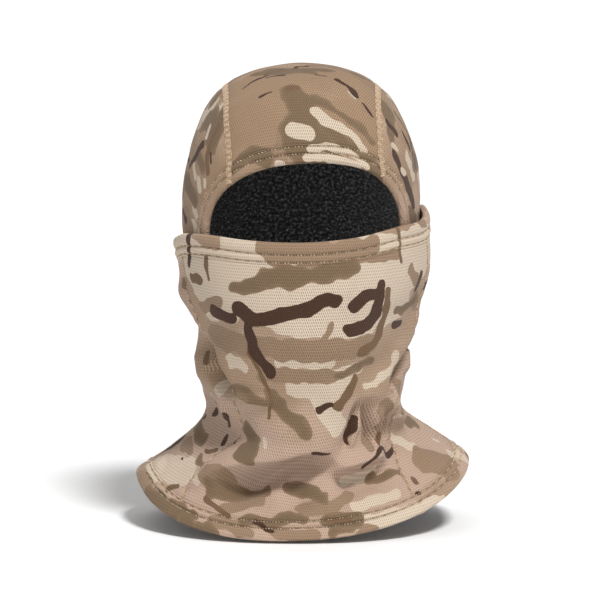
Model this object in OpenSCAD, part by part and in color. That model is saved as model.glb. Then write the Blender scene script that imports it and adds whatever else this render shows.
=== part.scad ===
// Fleece-lined balaclava with a pull-down face cover, in millimetres.
// +Z is up, the face looks along -Y and the wearer's left is +X. The origin is the middle of
// the head, level with the top edge of the face cover. Every cloth piece is a thin shell laid
// between two offsets of one smooth surface: the hood's dome, the face cover or the neck and bib.

/* [Hood] */
// Half of the hood's width at the ears
hood_half_w = 89; // [88:0.5:90]
// Height of the crown above the origin
crown_h = 120; // [114:1:126]
// Distance of the forehead in front of the origin
hood_front = 100; // [97:1:103]
// Distance of the back of the head behind the origin
hood_back = 105; // [104:1:107]
// Half of the crown panel's width
crown_half_w = 57; // [52:1:59]

/* [Eye opening] */
// Half of the opening's width
eye_half_w = 73; // [70:1:74]
// Height of the opening's arch above the origin
eye_h = 59; // [54:1:62]

/* [Face cover] */
// Half of the face cover's width at its top edge
cover_half_w = 95.5; // [95:0.5:97]
// Distance of its top edge in front of the origin
cover_front = 112; // [111:1:114]
// Depth of the part that moves, from the origin down
cover_depth = 50; // [46:1:52]
// Height of its top edge at the wearer's left end
left_edge_z = 13; // [2:1:14]
// Height of its top edge at the wearer's right end
right_edge_z = -10; // [-12:1:2]

/* [Neck and bib] */
// Half of the bib's width at the shoulders
bib_half_w = 125; // [118:1:130]
// Distance of the bib's front hem in front of the origin
bib_front = 113; // [108:1:118]
// Distance of the bib's back hem behind the origin
bib_back = 106; // [100:1:112]
// Depth of the hem below the origin at the shoulders
shoulder_drop = 183; // [175:1:190]
// How much lower the hem hangs at the chest than at the shoulders
chest_drop = 42; // [30:1:48]
// How much lower the hem hangs at the back than at the shoulders
back_drop = 12; // [5:1:20]

/* [Cloth] */
// Thickness of the printed outer knit
knit_t = 1.2; // [1:0.1:1.4]
// Thickness of the fleece
fleece_t = 1.6; // [1.2:0.1:1.8]
// Gap between knit and fleece
ply_gap = 0.2; // [0.2:0.1:0.4]
// Width of the turned face and bib hems
hem_w = 14; // [12:1:16]

/* [Hidden] */

round_n = 2.2;                    // superellipse exponent of every level section
dome_n = 2.65;                    // and of the dome's upright profile
edge_gap = 0.35;                  // half of the gap between neighbouring pieces
lining_in = knit_t + ply_gap;     // depth of the fleece's outer face
cloth_t = lining_in + fleece_t;   // depth of the fleece's inner face
hem_proud = 0.9;                  // how far a turned hem stands out
thread_lift = 0.3;                // gap under a row of stitches
seam_lift = 0.7;                  // gap under a seam's threads, clear of the cloth's facets
hood_depth = 60;                  // how far the hood reaches below the origin
hem_round = 0.25;                 // how round the bib's hem is over the shoulders
side_end = 98;                    // section angle where the face cover's sides end
cover_seam = 72;                  // section angle of the seams in the face cover
eye_hem_side = 6;                 // eye hem's growth sideways
eye_hem_rise = 10;                // and upwards
seam_half_w = 2.4;                // half of a flat seam's width
seam_h = 0.9;                     // its height
thread_w = 0.8;                   // width of a row of stitches
thread_t = 0.4;                   // its thickness
arch_share = 0.66;                // share of the eye hem's length that lies on the arch
hem_end = 0.98;                   // where the eye hem ends inside the neck
stitch_rows = [0.45, 0.85];       // places of the two rows across a hem, from its edge

// Hood below the origin: depth, half width, front, back
hood_levels = [
    [0, hood_half_w, hood_front, hood_back],
    [20, hood_half_w - 1.5, hood_front - 1, hood_back - 2.5],
    [40, hood_half_w - 7.5, hood_front - 4, hood_back - 8],
    [60, hood_half_w - 13.5, hood_front - 8, hood_back - 17]
];
// Face cover: depth below the origin, half width, front
cover_levels = [
    [-14, cover_half_w - 1.5, cover_front - 2],
    [0, cover_half_w, cover_front],
    [20, cover_half_w + 1.5, cover_front + 2],
    [35, cover_half_w, cover_front + 3],
    [52, cover_half_w - 4, cover_front + 3]
];
// Top edge of the face cover: section angle, height
edge_levels = [[-98, right_edge_z], [-75, -3], [-45, 3], [0, 1.5], [45, 8.5], [98, left_edge_z]];
// Neck and bib: share of the way down to the hem, half width, front, back
neck_levels = [
    [-0.12, 86, 107.5, hood_back - 13],
    [0, 81, 107.5, hood_back - 17],
    [0.2, 79, 105.5, 78],
    [0.4, 79, 99, 72],
    [0.55, 70, 90, 72],
    [0.65, 73, 86, 77],
    [0.8, 95, 95, 90],
    [0.9, 111, 104, 98],
    [1, bib_half_w, bib_front, bib_back]
];
// Front seams of the neck: share of the way down, section angle from the middle of the front
front_seam = [[-0.12, 74], [0, 72], [0.3, 66], [0.55, 57], [0.75, 52], [1, 47]];

// ---- interpolation and section helpers ----

function part_of(tab, t, i = 0) =
    (i >= len(tab) - 2 || t < tab[i + 1][0]) ? i : part_of(tab, t, i + 1);

function slope(tab, i, c) =
    let (a = max(i - 1, 0), b = min(i + 1, len(tab) - 1))
    (tab[b][c] - tab[a][c]) / (tab[b][0] - tab[a][0]);

// Smooth value of column c of a table at t
function at(tab, t, c) =
    let (i = part_of(tab, t),
         h = tab[i + 1][0] - tab[i][0],
         s = (t - tab[i][0]) / h)
    tab[i][c] * (2 * s * s * s - 3 * s * s + 1)
    + h * slope(tab, i, c) * (s * s * s - 2 * s * s + s)
    + tab[i + 1][c] * (3 * s * s - 2 * s * s * s)
    + h * slope(tab, i + 1, c) * (s * s * s - s * s);

function power(v, e) = sign(v) * pow(abs(v), e);

// The other coordinate of a unit superellipse at v, with exponent n
function rest_of(v, n = round_n) = pow(max(0, 1 - pow(abs(v), n)), 1 / n);

// Point of a unit superellipse at a section angle: 0 is the front, 90 the wearer's left
function section(angle) =
    [power(sin(angle), 2 / round_n), -power(cos(angle), 2 / round_n)];

// Section angle of a share of the half width, on the front half
function angle_at(share) = asin(power(min(1, share), round_n / 2));

// ---- the three surfaces, each at a depth d under its outer face ----

// Dome of the hood at unit coordinates u
function dome(u, d) =
    [u[0] * (hood_half_w - d),
     u[1] * ((u[1] < 0 ? hood_front : hood_back) - d),
     u[2] * (crown_h - d)];

// Hood at height z and section angle
function hood(z, angle, d) =
    let (p = section(angle))
    z >= 0
        ? let (k = rest_of(z / crown_h, dome_n)) dome([p[0] * k, p[1] * k, z / crown_h], d)
        : [p[0] * (at(hood_levels, -z, 1) - d),
           p[1] * (at(hood_levels, -z, p[1] < 0 ? 2 : 3) - d),
           z];

// Half width of the hood at height z
function hood_w(z) =
    z >= 0 ? hood_half_w * rest_of(z / crown_h, dome_n) : at(hood_levels, -z, 1);

// Face cover at height z and section angle
function cover(z, angle, d) =
    let (p = section(angle))
    [p[0] * (at(cover_levels, -z, 1) - d), p[1] * (at(cover_levels, -z, 2) - d), z];

// Height of the bib's lower edge at a section angle: a rounded corner over each shoulder
function hem_z(angle) =
    let (c = cos(angle), bend = sqrt(c * c + hem_round * hem_round) - hem_round)
    -shoulder_drop - (chest_drop - back_drop) / 2 * c
    - (chest_drop + back_drop) / 2 * bend / (sqrt(1 + hem_round * hem_round) - hem_round);

// Neck and bib at a share t of the way down to the hem
function neck(t, angle, d) =
    let (p = section(angle),
         z = -hood_depth + t * (t < 0 ? -140 : hem_z(angle) + hood_depth))
    [p[0] * (at(neck_levels, t, 1) - d),
     p[1] * (at(neck_levels, t, p[1] < 0 ? 2 : 3) - d),
     t < 0 ? -hood_depth - 140 * t : z];

// ---- shells ----

// Solid between two grids of points, [row][column]. A wrapped grid closes on itself.
module shell(outer, inner, wrap = false) {
    rows = len(outer);
    cols = len(outer[0]);
    count = rows * cols;
    spans = wrap ? cols : cols - 1;
    function id(r, c, layer) = layer * count + r * cols + c % cols;
    function quad(a, b, c, d) = [[a, b, c], [a, c, d]];
    faces = [
        for (r = [0 : rows - 2], c = [0 : spans - 1])
            each concat(
                quad(id(r, c, 0), id(r, c + 1, 0), id(r + 1, c + 1, 0), id(r + 1, c, 0)),
                quad(id(r, c, 1), id(r + 1, c, 1), id(r + 1, c + 1, 1), id(r, c + 1, 1))),
        for (c = [0 : spans - 1])
            each concat(
                quad(id(0, c, 0), id(0, c, 1), id(0, c + 1, 1), id(0, c + 1, 0)),
                quad(id(rows - 1, c, 0), id(rows - 1, c + 1, 0),
                     id(rows - 1, c + 1, 1), id(rows - 1, c, 1))),
        for (r = [0 : (wrap ? -1 : rows - 2)])
            each concat(
                quad(id(r, 0, 0), id(r + 1, 0, 0), id(r + 1, 0, 1), id(r, 0, 1)),
                quad(id(r, cols - 1, 0), id(r, cols - 1, 1),
                     id(r + 1, cols - 1, 1), id(r + 1, cols - 1, 0)))
    ];
    polyhedron([for (layer = [outer, inner], row = layer, p = row) p], faces, convexity = 8);
}

// Bulge of a turned hem or a raised seam across its width, 0 at both edges
function bulge(share) = 1 - pow(2 * share - 1, 4);

function steps(low, high, n) = [for (i = [0 : n]) low + (high - low) * i / n];

module knit_colour() color([0.62, 0.50, 0.38]) children();
module hem_colour() color([0.72, 0.60, 0.47]) children();
module fleece_colour() color([0.06, 0.06, 0.065]) children();
module thread_colour() color([0.78, 0.68, 0.52]) children();

module mirrored() mirror([1, 0, 0]) children();

// ---- hood ----

// Height of the eye hem's edge at a distance x from the middle; grow widens the opening's outline
function arch_z(x, grow) =
    (eye_h + eye_hem_rise * grow) * rest_of(x / (eye_half_w + eye_hem_side * grow));

// Distance of that edge from the middle at height z
function arch_x(z, grow) =
    let (w = eye_half_w + eye_hem_side * grow)
    z >= 0
        ? w * rest_of(z / (eye_h + eye_hem_rise * grow))
        : w - 6 * pow(z / hood_depth, 2);

// Crown panel's grid: a row follows the head from the forehead (0) over the top to the nape (1)
function crown_point(x, row, d) =
    let (share = x / hood_half_w,
         top = rest_of(share, dome_n),
         start = asin(arch_z(x, 1.08) / crown_h / top),
         over = start + (180 - start) * min(1, row / 0.82),
         up = top * sin(over),
         level = rest_of(up, dome_n),
         y = pow(max(0, pow(level, round_n) - pow(abs(share), round_n)), 1 / round_n))
    row <= 0.82
        ? dome([share, over < 90 ? -y : y, up], d)
        : hood(-(hood_depth - edge_gap) * (row - 0.82) / 0.18,
               180 - angle_at(x / hood_w(-hood_depth * (row - 0.82) / 0.18)), d);

// Narrower towards the nape
function crown_edge(row) = crown_half_w - 8 * max(0, row - 0.82) / 0.18;

module crown_layer(d_out, d_in) {
    rows = concat(steps(0, 0.82, 20), steps(0.865, 1, 3));
    cols = steps(-1, 1, 8);
    function grid(d) =
        [for (r = rows) [for (s = cols) crown_point(s * (crown_edge(r) - edge_gap), r, d)]];
    shell(grid(d_out), grid(d_in));
}

module crown_panel() knit_colour() crown_layer(0, knit_t);
module crown_lining() fleece_colour() crown_layer(lining_in, cloth_t);

// Side panel: rows by height, columns from the eye hem or the front of the seam to its back
module side_layer(d_out, d_in) {
    seam_x = crown_half_w + edge_gap;
    top = crown_h * rest_of(seam_x / hood_half_w, dome_n) - 0.4;
    heights = concat(steps(-hood_depth + edge_gap, -12, 4),
                     [for (i = [0 : 12]) top * sin(i * 7.5)]);
    cols = steps(0, 1, 13);
    function first(z) = angle_at(max(arch_x(z, 1.08), z > 30 ? seam_x : 0) / hood_w(z));
    function last(z) =
        180 - angle_at((seam_x - 8 * max(0, -z) / hood_depth) / hood_w(z));
    function grid(d) =
        [for (z = heights) [for (s = cols) hood(z, first(z) + (last(z) - first(z)) * s, d)]];
    shell(grid(d_in), grid(d_out));
}

module left_side_panel() knit_colour() side_layer(0, knit_t);
module right_side_panel() mirrored() left_side_panel();
module left_side_lining() fleece_colour() side_layer(lining_in, cloth_t);
module right_side_lining() mirrored() left_side_lining();

// Point of the eye hem: along runs from -1 at the wearer's right to 1 at the left, and
// across from 0 at the opening's edge to 1 where the panels begin
function eye_hem_point(along, across, d) =
    let (arch = abs(along) < arch_share,
         bend = 90 * along / arch_share,
         z = arch ? (eye_h + eye_hem_rise * across) * pow(abs(cos(bend)), 2 / round_n)
                  : -hood_depth * (abs(along) - arch_share) / (1 - arch_share),
         x = arch ? (eye_half_w + eye_hem_side * across) * power(sin(bend), 2 / round_n)
                  : sign(along) * arch_x(z, across))
    hood(z, sign(x) * angle_at(abs(x) / hood_w(z)), d);

module eye_opening_hem() {
    function grid(out) = [for (w = steps(0, 1, 4)) [for (a = steps(-hem_end, hem_end, 42))
        eye_hem_point(a, w, out ? -hem_proud * bulge(w) : cloth_t + 0.4 * bulge(w))]];
    hem_colour() shell(grid(true), grid(false));
}

// One row of stitches at a place across the eye hem
module eye_hem_row(place) {
    function grid(lift) = [for (w = [-0.05, 0.05]) [for (a = steps(-hem_end, hem_end, 42))
        eye_hem_point(a, place + w, -hem_proud - thread_lift - lift)]];
    thread_colour() shell(grid(thread_t), grid(0));
}
module eye_hem_stitches() for (place = stitch_rows) eye_hem_row(place);

// Flat seam between the crown and the left side panel
module left_crown_seam() {
    rows = concat(steps(0.03, 0.82, 20), steps(0.865, 0.99, 3));
    function grid(out) = [for (s = steps(0, 1, 4)) [for (r = rows)
        crown_point(crown_edge(r) + seam_half_w * (2 * s - 1), r,
                    -thread_lift - (out ? 0.2 + seam_h * bulge(s) : 0))]];
    thread_colour() shell(grid(false), grid(true));
}
module right_crown_seam() mirrored() left_crown_seam();

// ---- neck and bib ----

last_t = 0.915;       // where the bib's panels meet the hem

function seam_angle(t) = at(front_seam, t, 1);

// One layer of a neck panel: the front, the left side or the back. The front and the sides
// start higher, tucked inside the face cover.
module neck_layer(part, d_out, d_in) {
    first = part == "back" ? [edge_gap / 130] : [-0.1, -0.05, 0];
    rows = concat(first, steps(last_t / 11, last_t, 10));
    cols = steps(0, 1, part == "back" ? 22 : part == "front" ? 18 : 6);
    turn = 0.4;       // half of the gap between panels, in degrees
    function low(t) = turn + (part == "back" ? side_end : part == "side" ? seam_angle(t) : -seam_angle(t));
    function high(t) = -turn + (part == "back" ? 360 - side_end : part == "side" ? side_end : seam_angle(t));
    function grid(d) = [for (t = rows) [for (s = cols) neck(t, low(t) + (high(t) - low(t)) * s, d)]];
    shell(grid(d_out), grid(d_in));
}

module neck_front_panel() knit_colour() neck_layer("front", 0, knit_t);
module neck_front_lining() fleece_colour() neck_layer("front", lining_in, cloth_t);
module left_bib_panel() knit_colour() neck_layer("side", 0, knit_t);
module left_bib_lining() fleece_colour() neck_layer("side", lining_in, cloth_t);
module right_bib_panel() mirrored() left_bib_panel();
module right_bib_lining() mirrored() left_bib_lining();
module back_neck_panel() knit_colour() neck_layer("back", 0, knit_t);
module back_neck_lining() fleece_colour() neck_layer("back", lining_in, cloth_t);

module bottom_hem() {
    function grid(out) = [for (w = steps(0, 1, 4)) [for (i = [0 : 71])
        neck(last_t + 0.005 + (1 - last_t - 0.005) * w, i * 5,
             out ? -hem_proud * bulge(w) : cloth_t + 0.5 * bulge(w))]];
    hem_colour() shell(grid(true), grid(false), wrap = true);
}

// One row of stitches at a share of the way up the bib's hem
module bottom_hem_row(place) {
    t = 1 - (1 - last_t) * place;
    function grid(lift) = [for (w = [-0.003, 0.003]) [for (i = [0 : 71])
        neck(t + w, i * 5, -hem_proud - thread_lift - lift)]];
    thread_colour() shell(grid(thread_t), grid(0), wrap = true);
}
module bottom_hem_stitches() for (place = stitch_rows) bottom_hem_row(place);

// Seam threads of the neck: a strip down the front seam or down the shoulder seam
module neck_seam(front) {
    rows = concat([0.02], steps(last_t / 11, last_t * 10 / 11, 9), [last_t - 0.01]);
    function grid(out) = [for (s = steps(0, 1, 3)) [for (t = rows)
        neck(t, (front ? seam_angle(t) : side_end) + (2 * s - 1) * 1.1,
             -seam_lift - (out ? 0.15 + 0.5 * bulge(s) : 0))]];
    thread_colour() shell(grid(false), grid(true));
}

module left_front_seam() neck_seam(true);
module right_front_seam() mirrored() left_front_seam();
module left_shoulder_seam() neck_seam(false);
module right_shoulder_seam() mirrored() left_shoulder_seam();

// Seam threads just under the edge where the hood's back meets the neck
module nape_seam() {
    function grid(out) = [for (s = steps(0, 1, 3)) [for (angle = steps(side_end + 3, 357 - side_end, 18))
        neck(0.006 + 0.036 * s, angle, -seam_lift - (out ? 0.15 + 0.5 * bulge(s) : 0))]];
    thread_colour() shell(grid(true), grid(false));
}

// ---- face cover ----

// Height of the face cover's top edge at a section angle
function edge_z(angle) = at(edge_levels, angle, 1);

function cover_point(angle, drop, d) = cover(edge_z(angle) - drop, angle, d);

cover_angles = steps(-side_end, side_end, 32);

// One layer of a face cover panel between two section angles
module cover_layer(low, high, cols, d_out, d_in) {
    function grid(d) = [for (s = steps(0, 1, 4)) [for (angle = steps(low, high, cols))
        let (top = hem_w + edge_gap, bottom = cover_depth + edge_z(angle))
        cover_point(angle, top + (bottom - top) * s, d)]];
    shell(grid(d_out), grid(d_in));
}

module face_panel() knit_colour() cover_layer(0.3 - cover_seam, cover_seam - 0.3, 24, 0, knit_t);
module face_lining() fleece_colour() cover_layer(0.3 - cover_seam, cover_seam - 0.3, 24, lining_in, cloth_t);
module left_cover_panel() knit_colour() cover_layer(cover_seam + 0.3, side_end, 5, 0, knit_t);
module left_cover_lining() fleece_colour() cover_layer(cover_seam + 0.3, side_end, 5, lining_in, cloth_t);
module right_cover_panel() knit_colour() cover_layer(-side_end, -cover_seam - 0.3, 5, 0, knit_t);
module right_cover_lining() fleece_colour() cover_layer(-side_end, -cover_seam - 0.3, 5, lining_in, cloth_t);

// Flat seam in the face cover, on the side given by the sign of the angle
module cover_seam_at(angle) {
    function grid(out) = [for (s = steps(0, 1, 3)) [for (drop = steps(hem_w + 1, cover_depth + edge_z(angle) - 1, 4))
        cover_point(angle + (2 * s - 1) * 1.1, drop, -seam_lift - (out ? 0.15 + 0.5 * bulge(s) : 0))]];
    thread_colour() shell(grid(false), grid(true));
}
module left_cover_seam() cover_seam_at(cover_seam);
module right_cover_seam() cover_seam_at(-cover_seam);

module face_hem() {
    function grid(out) = [for (s = steps(0, 1, 4)) [for (angle = cover_angles)
        cover_point(angle, hem_w * s, out ? -hem_proud * bulge(s) : cloth_t)]];
    hem_colour() shell(grid(true), grid(false));
}

// One row of stitches at a share of the way down the face hem
module face_hem_row(place) {
    function grid(lift) = [for (w = [-0.5, 0.5]) [for (angle = cover_angles)
        cover_point(angle, hem_w * place + w * thread_w, -hem_proud - thread_lift - lift)]];
    thread_colour() shell(grid(thread_t), grid(0));
}
module face_hem_stitches() for (place = stitch_rows) face_hem_row(place);

crown_panel();
left_side_panel();
right_side_panel();
crown_lining();
left_side_lining();
right_side_lining();
eye_opening_hem();
eye_hem_stitches();
left_crown_seam();
right_crown_seam();
neck_front_panel();
left_bib_panel();
right_bib_panel();
back_neck_panel();
neck_front_lining();
left_bib_lining();
right_bib_lining();
back_neck_lining();
bottom_hem();
bottom_hem_stitches();
nape_seam();
left_front_seam();
right_front_seam();
left_shoulder_seam();
right_shoulder_seam();
face_panel();
left_cover_panel();
right_cover_panel();
face_lining();
left_cover_lining();
right_cover_lining();
left_cover_seam();
right_cover_seam();
face_hem();
face_hem_stitches();
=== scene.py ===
# %% [markdown]
# # A fleece-lined balaclava with a pull-down face cover
# A balaclava like this is cut from a printed knit, backed with black fleece, and sewn from a
# few flat panels: a crown strip and two sides for the hood, a long front panel with a gusset
# on each side, and a back. The front panel is loose over the cheeks, so it pulls down under
# the chin. This lesson builds each panel as a grid of points on one smooth worn shape, pushes
# the folds into that shape, and then lays hems, seams and stitches on the same surface, so
# that every piece follows the same folds.

# %% Load the frame
import math

import bpy
import numpy as np
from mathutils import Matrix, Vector


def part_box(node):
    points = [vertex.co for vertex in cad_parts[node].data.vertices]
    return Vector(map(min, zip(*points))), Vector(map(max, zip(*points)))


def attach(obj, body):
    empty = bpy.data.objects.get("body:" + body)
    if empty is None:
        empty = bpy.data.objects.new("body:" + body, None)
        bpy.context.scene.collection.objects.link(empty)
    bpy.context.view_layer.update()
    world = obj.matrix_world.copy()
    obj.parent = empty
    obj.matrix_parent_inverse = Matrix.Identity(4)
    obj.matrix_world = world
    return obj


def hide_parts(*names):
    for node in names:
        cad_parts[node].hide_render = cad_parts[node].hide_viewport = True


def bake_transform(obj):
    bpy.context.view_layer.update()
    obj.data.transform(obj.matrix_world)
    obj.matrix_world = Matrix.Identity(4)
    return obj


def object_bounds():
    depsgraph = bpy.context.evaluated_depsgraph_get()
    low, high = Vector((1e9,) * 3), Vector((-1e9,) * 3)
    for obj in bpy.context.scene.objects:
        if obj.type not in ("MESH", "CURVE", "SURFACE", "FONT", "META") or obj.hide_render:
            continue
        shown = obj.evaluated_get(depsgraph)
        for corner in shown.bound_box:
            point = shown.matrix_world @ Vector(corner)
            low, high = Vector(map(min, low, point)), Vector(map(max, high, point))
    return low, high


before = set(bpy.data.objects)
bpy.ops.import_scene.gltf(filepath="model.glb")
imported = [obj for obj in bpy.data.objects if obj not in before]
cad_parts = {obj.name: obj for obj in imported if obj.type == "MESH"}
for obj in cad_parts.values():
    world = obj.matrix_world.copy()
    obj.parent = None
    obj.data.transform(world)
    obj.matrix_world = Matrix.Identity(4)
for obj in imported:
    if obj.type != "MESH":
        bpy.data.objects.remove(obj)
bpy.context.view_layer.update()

# %% [markdown]
# ## Sizes
# A tailor works in millimetres, so every table below is in millimetres, and points are turned
# into Blender's metres only when a mesh is made. The main sizes come from the CAD nodes.

# %% Main sizes
MM = 0.001
HOOD_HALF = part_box("left_side_panel")[1].x / MM
CROWN_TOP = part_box("crown_panel")[1].z / MM
HOOD_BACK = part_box("crown_panel")[1].y / MM
HOOD_FRONT = 100.0
HOOD_DEPTH = 60.0
BIB_DEPTH = -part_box("bottom_hem")[0].z / MM
KNIT = 1.2
LINING_OUT = 1.4
LINING_IN = 3.0
SIDE_END = 98.0
print("hood half width, crown, back, bib depth in mm:",
      [round(v, 1) for v in (HOOD_HALF, CROWN_TOP, HOOD_BACK, BIB_DEPTH)])

# %% [markdown]
# ## Curves that the whole shape is made of
# A level slice through a head or a neck is rounder than a box and squarer than a circle: a
# superellipse. Between measured levels a smooth cubic joins the values, the way a flexible
# curve ruler would.

# %% Section and interpolation helpers
ROUND = 2.2
DOME = 2.65


def powered(v, e):
    return np.sign(v) * np.abs(v) ** e


def rest_of(v, n=ROUND):
    """The other coordinate of a unit superellipse."""
    return np.clip(1 - np.abs(v) ** n, 0, None) ** (1 / n)


def section(angle):
    """Unit slice: 0 degrees is the front, 90 the wearer's left."""
    a = np.radians(angle)
    return powered(np.sin(a), 2 / ROUND), -powered(np.cos(a), 2 / ROUND)


def angle_at(share):
    return np.degrees(np.arcsin(np.clip(np.abs(share), 0, 1) ** (ROUND / 2)))


def ease(t):
    t = np.clip(t, 0, 1)
    return t * t * (3 - 2 * t)


def smooth(table, t):
    """Value at t of a table of (place, value) pairs, joined by cubics."""
    xs, ys = np.array(table, float).T
    slopes = np.gradient(ys, xs)
    t = np.clip(np.asarray(t, float), xs[0], xs[-1])
    i = np.clip(np.searchsorted(xs, t, side="right") - 1, 0, len(xs) - 2)
    h = xs[i + 1] - xs[i]
    s = (t - xs[i]) / h
    return (ys[i] * (2 * s**3 - 3 * s**2 + 1) + h * slopes[i] * (s**3 - 2 * s**2 + s)
            + ys[i + 1] * (3 * s**2 - 2 * s**3) + h * slopes[i + 1] * (s**3 - s**2))


print("a slice at 45 degrees:", [round(float(v), 3) for v in section(np.array(45.0))])

# %% [markdown]
# ## The hood's surface
# The hood is a dome over the ears and closes in a little below them. Its normal is found by
# measuring how fast a level function grows in each direction, which works on any shape.

# %% Hood surface
HOOD_SIDE = [(0, HOOD_HALF), (20, HOOD_HALF - 1.5), (40, HOOD_HALF - 7.5), (60, HOOD_HALF - 13.5)]
HOOD_FACE = [(0, HOOD_FRONT), (20, HOOD_FRONT - 1), (40, HOOD_FRONT - 4), (60, HOOD_FRONT - 8)]
HOOD_NAPE = [(0, HOOD_BACK), (20, HOOD_BACK - 2.5), (40, HOOD_BACK - 8), (60, HOOD_BACK - 17)]


def hood_halves(z):
    """Half width, front depth and back depth of the hood's slice at height z."""
    down = np.clip(-z, 0, HOOD_DEPTH)
    up = rest_of(np.clip(z, 0, CROWN_TOP) / CROWN_TOP, DOME)
    return [smooth(t, down) * up for t in (HOOD_SIDE, HOOD_FACE, HOOD_NAPE)]


def hood_at(z, angle):
    sx, sy = section(angle)
    half, front, back = hood_halves(z)
    return np.stack(np.broadcast_arrays(sx * half, sy * np.where(sy < 0, front, back), z), -1)


def hood_level(p):
    """1 on the hood's surface, less inside it."""
    x, y, z = p[..., 0], p[..., 1], p[..., 2]
    down = np.clip(-z, 0, HOOD_DEPTH)
    half = smooth(HOOD_SIDE, down)
    depth = np.where(y < 0, smooth(HOOD_FACE, down), smooth(HOOD_NAPE, down))
    ring = (np.abs(x / half) ** ROUND + np.abs(y / depth) ** ROUND) ** (1 / ROUND)
    return (ring ** DOME + np.clip(z / CROWN_TOP, 0, None) ** DOME) ** (1 / DOME)


def normal_of(level, p, step=0.05):
    """Unit normal of a level function's surface at the points p."""
    g = np.stack([level(p + step * e) - level(p - step * e) for e in np.eye(3)], -1)
    return g / np.linalg.norm(g, axis=-1, keepdims=True)


def to_hood(p):
    """Moves points level with themselves onto the hood's surface."""
    half, front, back = hood_halves(p[..., 2])
    depth = np.where(p[..., 1] < 0, front, back)
    ring = (np.abs(p[..., 0] / half) ** ROUND + np.abs(p[..., 1] / depth) ** ROUND) ** (1 / ROUND)
    return p / np.stack([ring, ring, np.ones_like(ring)], -1)


# %% [markdown]
# ## Small waves and puckers
# Worn cloth is never a clean dome. A handful of long waves crossing at odd angles gives it
# the slow unevenness of a filled hood, and each seam pulls the cloth in beside it.

# %% Hood relief
SEAM_HALF = 57.0
NAPE_TAKE_IN = 8.0                                            # the strip narrows to the nape
SEAM_LEAN = [(30, 5.0), (60, 2.6), (85, 0.8), (104, 0.0)]     # the crown strip leans with the opening
WAVES = [(0.062, 0.031, 0.045, 0.4, 0.45), (-0.048, 0.071, 0.083, 1.9, 0.35),
         (0.11, -0.09, 0.07, 2.7, 0.22), (0.021, 0.13, -0.12, 4.1, 0.2),
         (0.19, 0.05, 0.16, 0.9, 0.1), (-0.13, 0.21, 0.18, 3.3, 0.08)]


def waves(p):
    return sum(a * np.sin(p @ np.array([kx, ky, kz]) + phase)
               for kx, ky, kz, phase, a in WAVES)


def seam_x(z, side, front):
    """Where a crown seam runs at height z: side is 1 on the wearer's left."""
    half = SEAM_HALF - NAPE_TAKE_IN * np.clip(-z, 0, HOOD_DEPTH) / HOOD_DEPTH
    return side * half + np.where(front, smooth(SEAM_LEAN, z), 0)


def hood_relief(p):
    """Height of the cloth over the clean hood."""
    front = p[..., 1] < 0
    relief = waves(p)
    for side in (-1, 1):
        gap = p[..., 0] - seam_x(p[..., 2], side, front)
        pucker = 0.16 * np.sin(p[..., 2] * 0.9 + p[..., 1] * 0.8) * np.exp(-(gap / 9) ** 2)
        on_hood = (p[..., 2] > 40) | ~front
        relief = relief + on_hood * (pucker - 0.9 * np.exp(-(gap / 3.8) ** 2))
    return relief


def hood(p, lift=0.0):
    """Points of the clean hood raised by its relief and by lift, along its normal."""
    lift = np.broadcast_to(lift, p.shape[:-1])
    return p + normal_of(hood_level, p) * (hood_relief(p) + lift)[..., None]


# %% [markdown]
# ## The neck, the face cover and the bib
# One surface runs from the face cover's top edge down over the jaw, in to the neck and out
# over the shoulders. It is described by a depth in millimetres below the eyes and an angle
# round the head. The wearer's left and right differ, because worn cloth never hangs evenly.

# %% Neck tables: depth, millimetres
WEARER_LEFT = [(-16, 95), (0, 97), (19, 98.5), (34, 97.5), (45, 94), (56, 88.5), (70, 85.5), (88, 81.5),
               (102, 77), (113, 78), (125, 80), (138, 79), (152, 76.5), (169, 76), (182, 78.5),
               (191, 84.5), (198, 92), (205, 103), (215, 118), (225, 126.5)]
WEARER_RIGHT = [(-16, 95), (0, 96), (19, 95), (34, 92.5), (48, 90), (58, 84), (70, 79.5), (87, 78.5),
                (104, 80), (122, 78.5), (136, 73), (146, 66.5), (155, 64), (165, 69), (180, 83),
                (198, 101), (212, 113), (225, 122.5)]
FRONT = [(-16, 110.5), (0, 112), (20, 114.5), (40, 115.5), (60, 114), (80, 110.5), (100, 106.5),
         (120, 101.5), (140, 95.5), (155, 91), (168, 88), (180, 89), (195, 95.5), (210, 104.5), (225, 113)]
BACK = [(-16, 104.5), (20, 102.5), (40, 97), (60, 88.5), (80, 83), (100, 77.5), (120, 73), (135, 71.5),
        (150, 72.5), (165, 77), (180, 84),
        (195, 92), (210, 99.5), (225, 106)]
SIDE_ENDS = [(-16, 92), (0, 93), (20, 91.5), (40, 86), (52, 80.5), (62, 77), (80, 75.5), (104, 77),
             (125, 77), (145, 73), (160, 71), (180, 80), (198, 98), (212, 113), (225, 124.5)]
EDGE_HEIGHT = [(-98, -11), (-85, -8.5), (-65, 0), (-47, 3), (-20, 1.8), (0, 1.3), (22, 3.7),
               (47, 8.6), (69, 9), (85, 12), (98, 13)]
SHOULDER_DROP, CHEST_DROP, BACK_DROP, HEM_TILT = 183.0, 38.0, 12.0, 6.5


def hem_height(angle):
    """Height of the bib's edge: lowest at the chest, rounded over the shoulders."""
    c, r = np.cos(np.radians(angle)), 0.25
    bend = (np.sqrt(c * c + r * r) - r) / (math.sqrt(1 + r * r) - r)
    return (-SHOULDER_DROP - (CHEST_DROP - BACK_DROP) / 2 * c
            - (CHEST_DROP + BACK_DROP) / 2 * bend + HEM_TILT * np.sin(np.radians(angle)))


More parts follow.
